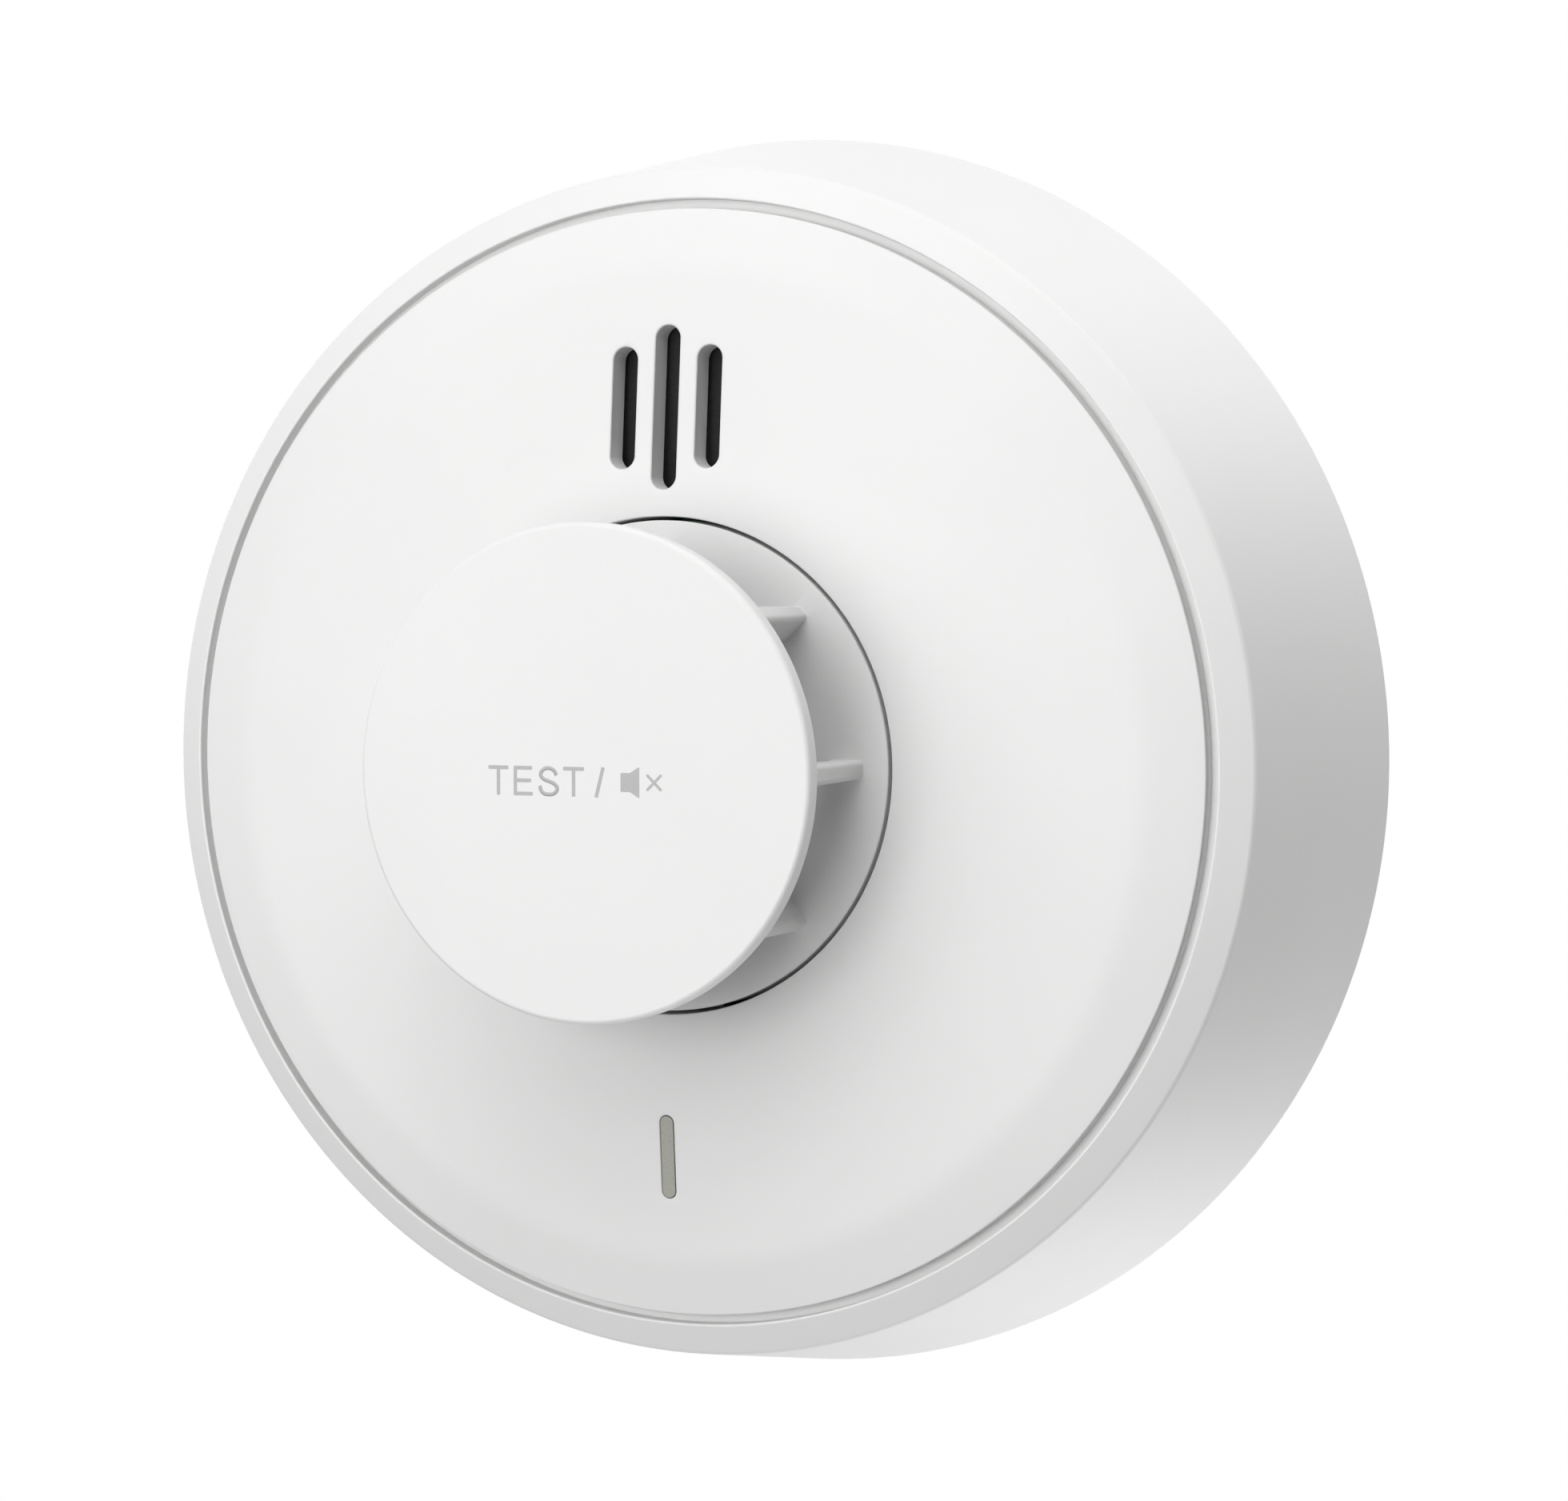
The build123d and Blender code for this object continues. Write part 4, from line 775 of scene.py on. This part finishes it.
class ALARM_OT_cover(AlarmPiece, bpy.types.Operator):
    """Build the crowned front cover with its slots, collar, duct and snap tabs"""

    bl_idname = "alarm.cover"
    bl_label = "Front cover"

    def crown_at(self, shell, hub, radius):
        """The height of the crown's outer surface at this radius."""
        bore = hub.hub_radius + hub.hub_seam
        edge = self.cover_radius(shell) - shell.band_width
        share = (radius - bore) / (edge - bore)
        fall = (shell.crown_height - shell.band_height) * share
        return shell.crown_height - fall - 4 * shell.crown_sag * share * (1 - share)

    def cover_radius(self, shell):
        """The radius of the cover's rim."""
        return shell.drum_radius - shell.drum_draft - shell.chamfer_width - shell.groove_width

    def execute(self, context):
        shell, hub = context.scene.alarm_shell, context.scene.alarm_hub
        rim = self.cover_radius(shell)
        bore = hub.hub_radius + hub.hub_seam
        band = rim - shell.band_width
        ledge_height = shell.lip_height - shell.groove_depth
        ledge = rim - shell.ledge_seat - shell.fit_gap
        skirt = ledge - shell.skirt_wall
        collar = bore + shell.collar_wall
        slope = (shell.crown_height - shell.band_height) / (band - bore)
        inside = shell.crown_height - shell.cover_wall - slope * shell.collar_wall
        crown_middle = (shell.crown_height + shell.band_height) / 2 - 2 * shell.crown_sag
        band_middle = (shell.band_height + shell.cover_edge_height) / 2 + 2 * shell.band_bulge
        profile = [
            (bore, shell.crown_height, shell.bore_round),
            ((bore + band) / 2, crown_middle, CROWN_REACH * (band - bore), ARC_STEPS),
            (band, shell.band_height, shell.band_round),
            ((band + rim) / 2, band_middle, BAND_REACH * (rim - band), ROUND_STEPS),
            (rim, shell.cover_edge_height, shell.cover_edge_round),
            (rim, ledge_height + shell.rim_gap),
            ((rim + ledge) / 2, ledge_height + shell.rim_gap),
            ((rim + ledge) / 2, ledge_height),
            (ledge, ledge_height),
            (ledge, ledge_height - shell.skirt_depth, EDGE),
            (skirt, ledge_height - shell.skirt_depth, EDGE),
            (skirt, shell.band_height - shell.cover_wall),
            (band, shell.band_height - shell.cover_wall),
            (collar, inside, SOFT),
            (collar, shell.collar_bottom, EDGE),
            (bore, shell.collar_bottom, EDGE),
        ]
        cover = piece_from(spun(profile), "cover_shell")
        joined(cover, self.duct(shell, hub, slope))
        hook_top = ledge_height - shell.ledge_thickness - shell.fit_gap
        hook = ledge + shell.fit_gap + shell.tab_hook
        tab = [
            (ledge - shell.tab_wall, hook_top - shell.tab_hook, SOFT),
            (ledge, hook_top - shell.tab_hook, FINE),
            (hook, hook_top - TAB_SLOPE, CRISP),
            (hook, hook_top, CRISP),
            (ledge, hook_top),
            (ledge, ledge_height + shell.fit_gap),
            (ledge - shell.tab_wall, ledge_height + shell.fit_gap),
        ]
        for angle in TAB_ANGLES:
            joined(cover, turned(prism(tab, shell.tab_width), math.radians(angle)))
        pitch = shell.slot_pitch
        for x, run in ((0.0, shell.middle_slot), (-pitch, shell.side_slot), (pitch, shell.side_slot)):
            self.cut_slot(cover, shell, hub, (x, shell.slot_centre), run, shell.slot_width, shell.slot_round, -slope)
        place = (0.0, -shell.light_centre)
        self.cut_slot(cover, shell, hub, place, shell.light_length, shell.light_width, shell.light_round, slope)
        dressed(shaded(cover), white("white_housing"), "head", "housing_white", "front_cover")
        return {"FINISHED"}

    def duct(self, shell, hub, slope):
        """The sounder duct, whose upper end lies inside the crown and follows its slope."""
        outside = shell.duct_radius + shell.duct_wall
        profile = [
            (shell.duct_radius, shell.collar_bottom, FINE),
            (shell.duct_radius, shell.crown_height),
            (outside, shell.crown_height),
            (outside, shell.collar_bottom, FINE),
        ]
        duct = moved(spun(profile, steps=DUCT_STEPS), z=shell.duct_centre)
        upper = [vert for vert in duct.verts if vert.co.y < -(shell.crown_height - NEAR_END)]
        sunk = self.crown_at(shell, hub, shell.duct_centre) - shell.cover_wall / 2
        bmesh.ops.translate(duct, verts=upper, vec=(0.0, shell.crown_height - sunk, 0.0))
        about = Matrix.Translation((0.0, 0.0, -shell.duct_centre))
        bmesh.ops.transform(duct, verts=upper, matrix=rise(-slope), space=about)
        return duct

    def cut_slot(self, cover, shell, hub, place, run, width, rounding, slope):
        """Cuts one round-ended slot with a softened rim, square to the wall and level with the crown's slope."""
        surface = self.crown_at(shell, hub, math.hypot(*place))
        depth = SLOT_DEPTH * shell.cover_wall
        flare = RIM_WIDTH * rounding
        profile = [
            (0.0, -depth),
            (width / 2, -depth),
            (width / 2, 0.0, rounding),
            (width / 2 + flare, flare * math.tan(RIM_FLARE)),
            (0.0, flare * math.tan(RIM_FLARE)),
        ]
        cut(cover, moved(stadium(profile, run - width, slope), x=place[0], height=surface, z=place[1]))


class ALARM_OT_plate(AlarmPiece, bpy.types.Operator):
    """Build the mounting plate with its hooks, screw slots and the coring in its wall side"""

    bl_idname = "alarm.plate"
    bl_label = "Mounting plate"

    def execute(self, context):
        plate = context.scene.alarm_plate
        floor, height, outer = plate.plate_thickness, plate.plate_height, plate.plate_radius
        ring = plate.ring_radius - plate.ring_wall
        collar = plate.plate_bore + plate.collar_wall
        profile = [
            (plate.plate_bore, 0.0, WIDE),
            (outer, 0.0, WIDE),
            (outer, floor, SOFT),
            (plate.ring_radius, floor, SOFT),
            (plate.ring_radius, height, EDGE),
            (ring, height, EDGE),
            (ring, floor, WIDE),
            (collar, floor, WIDE),
            (collar, floor + plate.collar_height, EDGE),
            (plate.plate_bore, floor + plate.collar_height, EDGE),
        ]
        piece = piece_from(spun(profile), "plate_moulding")
        root = plate.ring_radius - plate.ring_wall / 2
        foot = height - plate.hook_thickness
        profile = [(root, foot), (outer, foot, FINE), (outer, height, SOFT), (root, height)]
        hook = sector(profile, plate.hook_start, plate.hook_span, HOOK_STEPS)
        profile = [(root, floor / 2), (outer, floor / 2), (outer, height, SOFT), (root, height)]
        stop = sector(profile, plate.hook_start - plate.stop_span, STOP_REACH * plate.stop_span, STOP_STEPS)
        joined(piece, repeated(hook, plate.hook_count), repeated(stop, plate.hook_count))
        half = plate.screw_slot_width / 2
        profile = [
            (0.0, -PAST),
            (half + WALL_BEVEL + PAST, -PAST),
            (half, WALL_BEVEL),
            (half, floor - FRONT_BEVEL),
            (half + FRONT_BEVEL + PAST, floor + PAST),
            (0.0, floor + PAST),
        ]
        for side in (-1, 1):
            slot = stadium(profile, plate.screw_slot - plate.screw_slot_width)
            cut(piece, moved(slot, z=side * plate.screw_spacing / 2))
        depth = plate.pocket_depth
        rings = ((plate.plate_bore + POCKET_INSET, POCKET_RIB[0]), (POCKET_RIB[1], ring - POCKET_OUTSET))
        for near, far in rings:
            pocket = [(near, -depth), (far, -depth), (far, depth, WIDE), (near, depth, WIDE)]
            for side in (0.0, math.pi):
                for number in range(-POCKET_PAIRS, POCKET_PAIRS + 1):
                    middle = side + number * (plate.pocket_span + plate.rib_span)
                    cut(piece, sector(pocket, middle - plate.pocket_span / 2, plate.pocket_span, POCKET_STEPS))
        arrow = bmesh.new()
        tips = [arrow.verts.new((x * MM, -ARROW_DEPTH, z * MM)) for x, z in ARROW]
        face = bmesh.ops.contextual_create(arrow, geom=tips)["faces"]
        cut(piece, raised(arrow, face, (0.0, 2 * ARROW_DEPTH, 0.0)))
        dressed(shaded(piece), white("white_plate", "plate"), "base", "plate_white", "mounting_plate")
        return {"FINISHED"}


class ALARM_OT_hub(AlarmPiece, bpy.types.Operator):
    """Build the hub's flange, its flared vanes, their ring, and the hooks and posts behind them"""

    bl_idname = "alarm.hub"
    bl_label = "Vanes and flange"

    def flange_at(self, shell, hub, radius):
        """The height of the flange's face at this radius."""
        return shell.crown_height + hub.flange_slope * (hub.hub_radius - radius)

    def vane(self, shell, hub, top_end):
        """One upright blade with rounded edges and a foot that flares into the flange."""
        inner = hub.vane_inner + hub.vane_ring_wall / 3
        middle = (inner + hub.vane_outer) / 2
        span = hub.vane_outer - inner
        foot = self.flange_at(shell, hub, middle) + hub.vane_foot - VANE_SUNK
        about = Matrix.Translation((-middle, 0.0, 0.0))
        blade = bmesh.new()
        bmesh.ops.create_cube(blade, size=1.0)
        bmesh.ops.scale(blade, verts=blade.verts, vec=(span, top_end - foot, hub.vane_thickness))
        moved(blade, x=middle, height=(top_end + foot) / 2)
        upright = [
            edge for edge in blade.edges if abs(edge.verts[0].co.y - edge.verts[1].co.y) > SAME_PLACE
        ]
        rounded(blade, upright, hub.vane_round, ROUND_STEPS, "EDGES")
        sole = max(blade.faces, key=lambda face: face.calc_center_median().y)
        bmesh.ops.scale(blade, verts=sole.verts, vec=(1.0, 1.0, hub.vane_draft))
        step = math.pi / 2 / ROUND_STEPS
        foot_wide = hub.vane_thickness * hub.vane_draft
        wide, long = foot_wide, span
        for number in range(1, ROUND_STEPS + 2):
            sole = bmesh.ops.extrude_discrete_faces(blade, faces=[sole])["faces"][0]
            angle = min(number, ROUND_STEPS) * step
            flare = hub.vane_foot * (1 - math.cos(angle))
            drop = hub.vane_foot * (math.sin(angle) - math.sin(angle - step))
            if number > ROUND_STEPS:
                drop = hub.vane_foot
            grown = (long, wide)
            long, wide = span + 2 * flare, foot_wide + 2 * flare
            bmesh.ops.scale(blade, verts=sole.verts, vec=(long / grown[0], 1.0, wide / grown[1]), space=about)
            bmesh.ops.translate(blade, verts=sole.verts, vec=(0.0, drop, 0.0))
        bmesh.ops.remove_doubles(blade, verts=blade.verts, dist=SAME_PLACE)
        low = [vert for vert in blade.verts if vert.co.y > -foot - SAME_PLACE]
        bmesh.ops.transform(blade, verts=low, matrix=rise(-hub.flange_slope, axis=0), space=about)
        return faced(blade)

    def post(self, radius, upper, lower):
        """A short round post with a softened end."""
        return spun([(0.0, upper), (radius, upper), (radius, lower, EDGE), (0.0, lower)], False, POST_STEPS)

    def execute(self, context):
        shell, hub = context.scene.alarm_shell, context.scene.alarm_hub
        cap_bottom = hub.cap_top - hub.cap_thickness
        flange_foot = shell.crown_height - hub.flange_thickness
        skirt_foot = shell.collar_bottom + shell.fit_gap
        skirt_inner = hub.hub_radius - hub.hub_wall
        profile = [
            (hub.flange_bore, flange_foot, SOFT),
            (hub.flange_bore, self.flange_at(shell, hub, hub.flange_bore), hub.flange_round),
            (hub.hub_radius, shell.crown_height, shell.bore_round),
            (hub.hub_radius, skirt_foot, EDGE),
            (skirt_inner, skirt_foot, EDGE),
            (skirt_inner, flange_foot, WIDE),
        ]
        flange = piece_from(spun(profile), "hub_vanes")
        joined(flange, repeated(self.vane(shell, hub, cap_bottom - CAP_GAP), hub.vane_count))
        ring_foot, ring_outer = cap_bottom - hub.vane_ring_height, hub.vane_inner + hub.vane_ring_wall
        profile = [
            (hub.vane_inner, ring_foot, EDGE),
            (hub.vane_inner, cap_bottom),
            (ring_outer, cap_bottom),
            (ring_outer, ring_foot, EDGE),
        ]
        ring = spun(profile, steps=TURN_STEPS // 2)
        hook_top = shell.collar_bottom - shell.fit_gap
        hook_foot = hook_top - hub.hook_height
        hook_end = hub.hub_radius + hub.hook_reach
        outer = hub.hub_radius - HOOK_INSET
        profile = [
            (skirt_inner, skirt_foot + hub.hub_wall),
            (outer, skirt_foot + hub.hub_wall),
            (outer, hook_top, FINE),
            (hook_end, hook_top, FINE),
            (hook_end, hook_top - hub.hook_height / 2, FINE),
            (outer, hook_foot, SOFT),
            (skirt_inner, hook_foot, FINE),
        ]
        hook = turned(prism(profile, hub.hook_width), math.radians(HOOK_TURN))
        root = flange_foot + hub.flange_thickness / 2
        post = moved(self.post(hub.spring_post, root, hub.spring_post_foot), x=hub.spring_circle)
        pusher = self.post(hub.spring_post, root, top("switch_plunger") + PLUNGER_GAP)
        joined(
            flange,
            ring,
            repeated(hook, HOOK_COUNT),
            repeated(turned(post, math.radians(POST_TURN)), POST_COUNT),
            moved(pusher, x=hub.switch_offset),
        )
        dressed(shaded(flange), white("white_hub"), "button", "housing_white", "vane_ring")
        return {"FINISHED"}


class ALARM_OT_cap(AlarmPiece, bpy.types.Operator):
    """Build the button disc with its rounded edge and the ring behind it"""

    bl_idname = "alarm.cap"
    bl_label = "Button disc"

    def execute(self, context):
        hub = context.scene.alarm_hub
        back = hub.cap_top - hub.cap_thickness
        spigot_inner, spigot_foot = hub.spigot_radius - hub.spigot_wall, back - hub.spigot_depth
        profile = [
            (0.0, hub.cap_top),
            (hub.cap_radius, hub.cap_top, hub.cap_round),
            (hub.cap_radius, back, hub.cap_back_round),
            (hub.spigot_radius, back),
            (hub.spigot_radius, spigot_foot, EDGE),
            (spigot_inner, spigot_foot, EDGE),
            (spigot_inner, back),
            (0.0, back),
        ]
        cap = piece_from(spun(profile, closed=False), "cap_disc")
        dressed(shaded(cap), white("white_hub"), "button", "housing_white", "button_cap")
        return {"FINISHED"}


class ALARM_OT_marking(AlarmPiece, bpy.types.Operator):
    """Build the printed function marking: the test word, a stroke and a muted speaker"""

    bl_idname = "alarm.marking"
    bl_label = "Function marking"

    def bar(self, first, last, width, rounding):
        """One straight stroke between two points in millimetres."""
        start, end = Vector(first) * MM, Vector(last) * MM
        shape = bmesh.new()
        bmesh.ops.create_grid(shape, x_segments=1, y_segments=1, size=0.5)
        bmesh.ops.scale(shape, verts=shape.verts, vec=((end - start).length, width, 1.0))
        rounded(shape, shape.verts[:], rounding, PRINT_STEPS)
        lean = Matrix.Rotation(math.atan2(end.y - start.y, end.x - start.x), 3, "Z")
        bmesh.ops.rotate(shape, verts=shape.verts, cent=MIDDLE, matrix=lean)
        bmesh.ops.translate(shape, verts=shape.verts, vec=((start + end) / 2).to_3d())
        return shape

    def ribbon(self, points, width):
        """One curved stroke through points in millimetres."""
        nib = self.line([(-width / 2, 0.0), (width / 2, 0.0)], "POLY")
        path = self.line([(x * MM, y * MM) for x, y in points], "BEZIER")
        path.data.bevel_mode = "OBJECT"
        path.data.bevel_object = nib
        path.data.twist_mode = "Z_UP"
        flat = mesh_of(path)
        shape = bmesh.new()
        shape.from_mesh(flat)
        bpy.data.meshes.remove(flat)
        for line in (path, nib):
            curve = line.data
            bpy.data.objects.remove(line)
            bpy.data.curves.remove(curve)
        return shape

    def line(self, points, kind):
        """A curve through points in its own plane."""
        curve = bpy.data.curves.new("line", "CURVE")
        curve.dimensions = "3D"
        curve.resolution_u = CURVE_STEPS
        spline = curve.splines.new(kind)
        places = spline.bezier_points if kind == "BEZIER" else spline.points
        places.add(len(points) - 1)
        for place, (x, y) in zip(places, points):
            if kind == "BEZIER":
                place.co = (x, y, 0.0)
                place.handle_left_type = place.handle_right_type = "AUTO"
            else:
                place.co = (x, y, 0.0, 1.0)
        line = bpy.data.objects.new("line", curve)
        bpy.context.scene.collection.objects.link(line)
        return line

    def patch(self, corners, rounding):
        """A flat patch with rounded corners, from its corners in millimetres."""
        shape = bmesh.new()
        rim = [shape.verts.new((x * MM, y * MM, 0.0)) for x, y in corners]
        bmesh.ops.contextual_create(shape, geom=rim)
        return rounded(shape, rim, rounding, PRINT_STEPS)

    def execute(self, context):
        marks, hub = context.scene.alarm_print, context.scene.alarm_hub
        cross = marks.cross_stroke
        patches = [self.bar(*ends, marks.letter_stroke, marks.corner_round) for ends in LETTER_BARS]
        patches += [self.bar(*ends, cross, CROSS_ROUND * cross) for ends in CROSS]
        patches += [self.ribbon(LETTER_CURVE, marks.letter_stroke), self.patch(SPEAKER, 2 * marks.corner_round)]
        marking = None
        for patch in patches:
            raised(faced(patch), patch.faces[:], (0.0, 0.0, 2 * marks.film))
            bmesh.ops.transform(patch, verts=patch.verts, matrix=Matrix.Rotation(math.pi / 2, 4, "X"))
            moved(patch, height=hub.cap_top - marks.film, z=marks.base_line)
            marking = combined(marking, patch, "UNION") if marking else piece_from(patch, "cap_marking")
        ink = printing_ink("grey_print", tuple(context.scene.alarm_finish.print_ink))
        dressed(marking, ink, "button", "print_grey")
        return {"FINISHED"}


class ALARM_OT_screen(AlarmPiece, bpy.types.Operator):
    """Build the perforated insect screen behind the vanes"""

    bl_idname = "alarm.screen"
    bl_label = "Insect screen"

    def execute(self, context):
        hub = context.scene.alarm_hub
        low, high = hub.screen_bottom + hub.screen_border, hub.screen_top - hub.screen_border
        row = (high - low) / hub.screen_rows
        shape = bmesh.new()
        line = [shape.verts.new((hub.screen_radius - hub.screen_sheet, -hub.screen_bottom, 0.0))]
        for step in (hub.screen_border, *[row] * hub.screen_rows, hub.screen_border):
            line = bmesh.ops.extrude_vert_indiv(shape, verts=line)["verts"]
            bmesh.ops.translate(shape, verts=line, vec=(0.0, -step, 0.0))
        faced(swept(shape, math.tau, hub.screen_columns, use_merge=True))
        cells = [face for face in shape.faces if low < -face.calc_center_median().y < high]
        bmesh.ops.inset_individual(shape, faces=cells, thickness=hub.screen_bar, use_even_offset=True)
        bmesh.ops.delete(shape, geom=cells, context="FACES")
        screen = piece_from(shape, "screen_mesh")
        sheet = screen.modifiers.new("sheet", "SOLIDIFY")
        sheet.thickness = hub.screen_sheet
        sheet.offset = 1.0
        dressed(screen, worked_metal(*SCREEN_STEEL), "head", "screen_steel", "insect_screen")
        return {"FINISHED"}


class ALARM_OT_inner_parts(AlarmPiece, bpy.types.Operator):
    """Build the return springs, and give the rear cover and the other inner parts their finishes"""

    bl_idname = "alarm.inner_parts"
    bl_label = "Inner parts"

    def execute(self, context):
        paint(["rear_cover"], white("white_plate", "plate"))
        lens = tuple(context.scene.alarm_finish.lens)
        for name, base, roughness, size, depth, nodes in (
            *MOULDED, ("tinted_acrylic", lens, 0.3, 0.2, 0.001, ("light_pipe",))
        ):
            paint(nodes, moulded_plastic(name, base, roughness, size * MM, depth * MM))
        for *looks, nodes in WORKED:
            paint(nodes, worked_metal(*looks))
        self.springs(bpy.data.materials["steel_springs"])
        return {"FINISHED"}

    def springs(self, steel):
        """The return springs: a copy of the frame's springs with their doubled points merged, riding on the head."""
        shape = bmesh.new()
        shape.from_mesh(bpy.data.objects["return_springs"].data)
        bmesh.ops.remove_doubles(shape, verts=shape.verts, dist=SAME_PLACE)
        springs = piece_from(shape, "press_springs")
        dressed(springs, steel, "head", "spring_steel", "return_springs")
        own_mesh(springs)


class ALARM_OT_stage(AlarmPiece, bpy.types.Operator):
    """Set up the camera, the lamps, the pale floor and the white background"""

    bl_idname = "alarm.stage"
    bl_label = "Stage"

    def direction(self, azimuth, elevation):
        """Unit vector from the middle towards this azimuth and elevation."""
        level = math.cos(elevation)
        return Vector((math.sin(azimuth) * level, -math.cos(azimuth) * level, math.sin(elevation)))

    def placed(self, data, location, aim):
        """A camera or lamp with this place and aim."""
        thing = bpy.data.objects.new(data.name, data)
        thing.location = location
        thing.rotation_mode = "QUATERNION"
        thing.rotation_quaternion = aim
        bpy.context.scene.collection.objects.link(thing)
        return thing

    def camera(self, stage):
        """The camera, to the right of straight on and a little above."""
        back = self.direction(stage.azimuth, stage.elevation)
        right = Vector((math.cos(stage.azimuth), math.sin(stage.azimuth), 0.0))
        up = back.cross(right)
        lens = bpy.data.cameras.new("view")
        lens.lens = stage.lens
        lens.clip_start = CLIP_NEAR
        lens.clip_end = CLIP_FAR
        location = stage.distance * back + stage.shift_right * right + stage.shift_up * up
        bpy.context.scene.camera = self.placed(lens, location, (-back).to_track_quat("-Z", "Y"))

    def lamps(self):
        """Large soft lamps round the alarm."""
        for name, azimuth, elevation, distance, size, power in LAMPS:
            light = bpy.data.lights.new(name, "AREA")
            light.shape = "DISK"
            light.size = size
            light.energy = power
            away = self.direction(math.radians(azimuth), math.radians(elevation))
            self.placed(light, away * distance, away.to_track_quat("Z", "Y"))

    def seen(self, tree):
        """1 for rays from the camera, off gloss or through glass, and 0 for the light's own bounces."""
        path = node(tree, "LightPath", {})
        total = path.outputs["Is Camera Ray"]
        for name in ("Is Glossy Ray", "Is Transmission Ray"):
            total = node(tree, "Math", {0: total, 1: path.outputs[name]}, operation="MAXIMUM").outputs[0]
        return total

    def world(self, stage):
        """White where it is seen, and a plain level of light elsewhere."""
        world = bpy.data.worlds.new("studio")
        world.use_nodes = True
        tree = world.node_tree
        strength = ranged(tree, self.seen(tree), stage.ambient, 1.0)
        feed(tree, tree.nodes["Background"], {"Color": (1.0, 1.0, 1.0, 1.0), "Strength": strength})
        bpy.context.scene.world = world

    def floor(self, stage):
        """A round pale floor that takes the shadow in its middle and fades into the white round it."""
        shape = bmesh.new()
        bmesh.ops.create_circle(shape, cap_ends=True, segments=FLOOR_STEPS, radius=stage.floor_radius)
        floor = piece_from(moved(shape, z=-stage.floor_drop), "floor")
        material, tree, shader, where = new_finish("floor", tuple(stage.floor_colour), FLOOR_ROUGHNESS)
        flat = node(tree, "VectorMath", {0: where, 1: (1.0, 1.0, 0.0)}, operation="MULTIPLY")
        away = node(tree, "VectorMath", {0: flat.outputs[0]}, operation="LENGTH").outputs["Value"]
        fade = ranged(tree, away, 0.0, 1.0, stage.floor_fade / MM, stage.floor_radius / MM)
        both = node(tree, "Math", {0: fade, 1: self.seen(tree)}, operation="MULTIPLY").outputs[0]
        white_light = node(tree, "Emission", {}).outputs[0]
        mix = node(tree, "MixShader", {0: both, 1: shader.outputs[0], 2: white_light})
        feed(tree, tree.nodes["Material Output"], {"Surface": mix.outputs[0]})
        floor.data.materials.append(material)

    def execute(self, context):
        stage = context.scene.alarm_stage
        self.camera(stage)
        self.lamps()
        self.world(stage)
        self.floor(stage)
        context.scene.view_settings.view_transform = "Standard"
        return {"FINISHED"}


OPERATORS = (
    ALARM_OT_drum,
    ALARM_OT_cover,
    ALARM_OT_plate,
    ALARM_OT_hub,
    ALARM_OT_cap,
    ALARM_OT_marking,
    ALARM_OT_screen,
    ALARM_OT_inner_parts,
    ALARM_OT_stage,
)


class ALARM_PT_panel(bpy.types.Panel):
    """The alarm's sizes and its builders"""

    bl_idname = "ALARM_PT_panel"
    bl_label = "Smoke Alarm"
    bl_space_type = "VIEW_3D"
    bl_region_type = "UI"
    bl_category = "Alarm"

    def draw(self, context):
        column = self.layout.column(align=True)
        for operator in OPERATORS:
            column.operator(operator.bl_idname)
        for name, group in GROUPS.items():
            box = self.layout.box()
            for field in group.__annotations__:
                box.prop(getattr(context.scene, name), field)


CLASSES = (*GROUPS.values(), *OPERATORS, ALARM_PT_panel)


def register():
    for entry in CLASSES:
        bpy.utils.register_class(entry)
    for name, group in GROUPS.items():
        setattr(bpy.types.Scene, name, PointerProperty(type=group))


def unregister():
    for name in GROUPS:
        delattr(bpy.types.Scene, name)
    for entry in reversed(CLASSES):
        bpy.utils.unregister_class(entry)


def main():
    register()
    for operator in OPERATORS:
        getattr(bpy.ops.alarm, operator.bl_idname.split(".")[1])()


if __name__ == "__main__":
    main()
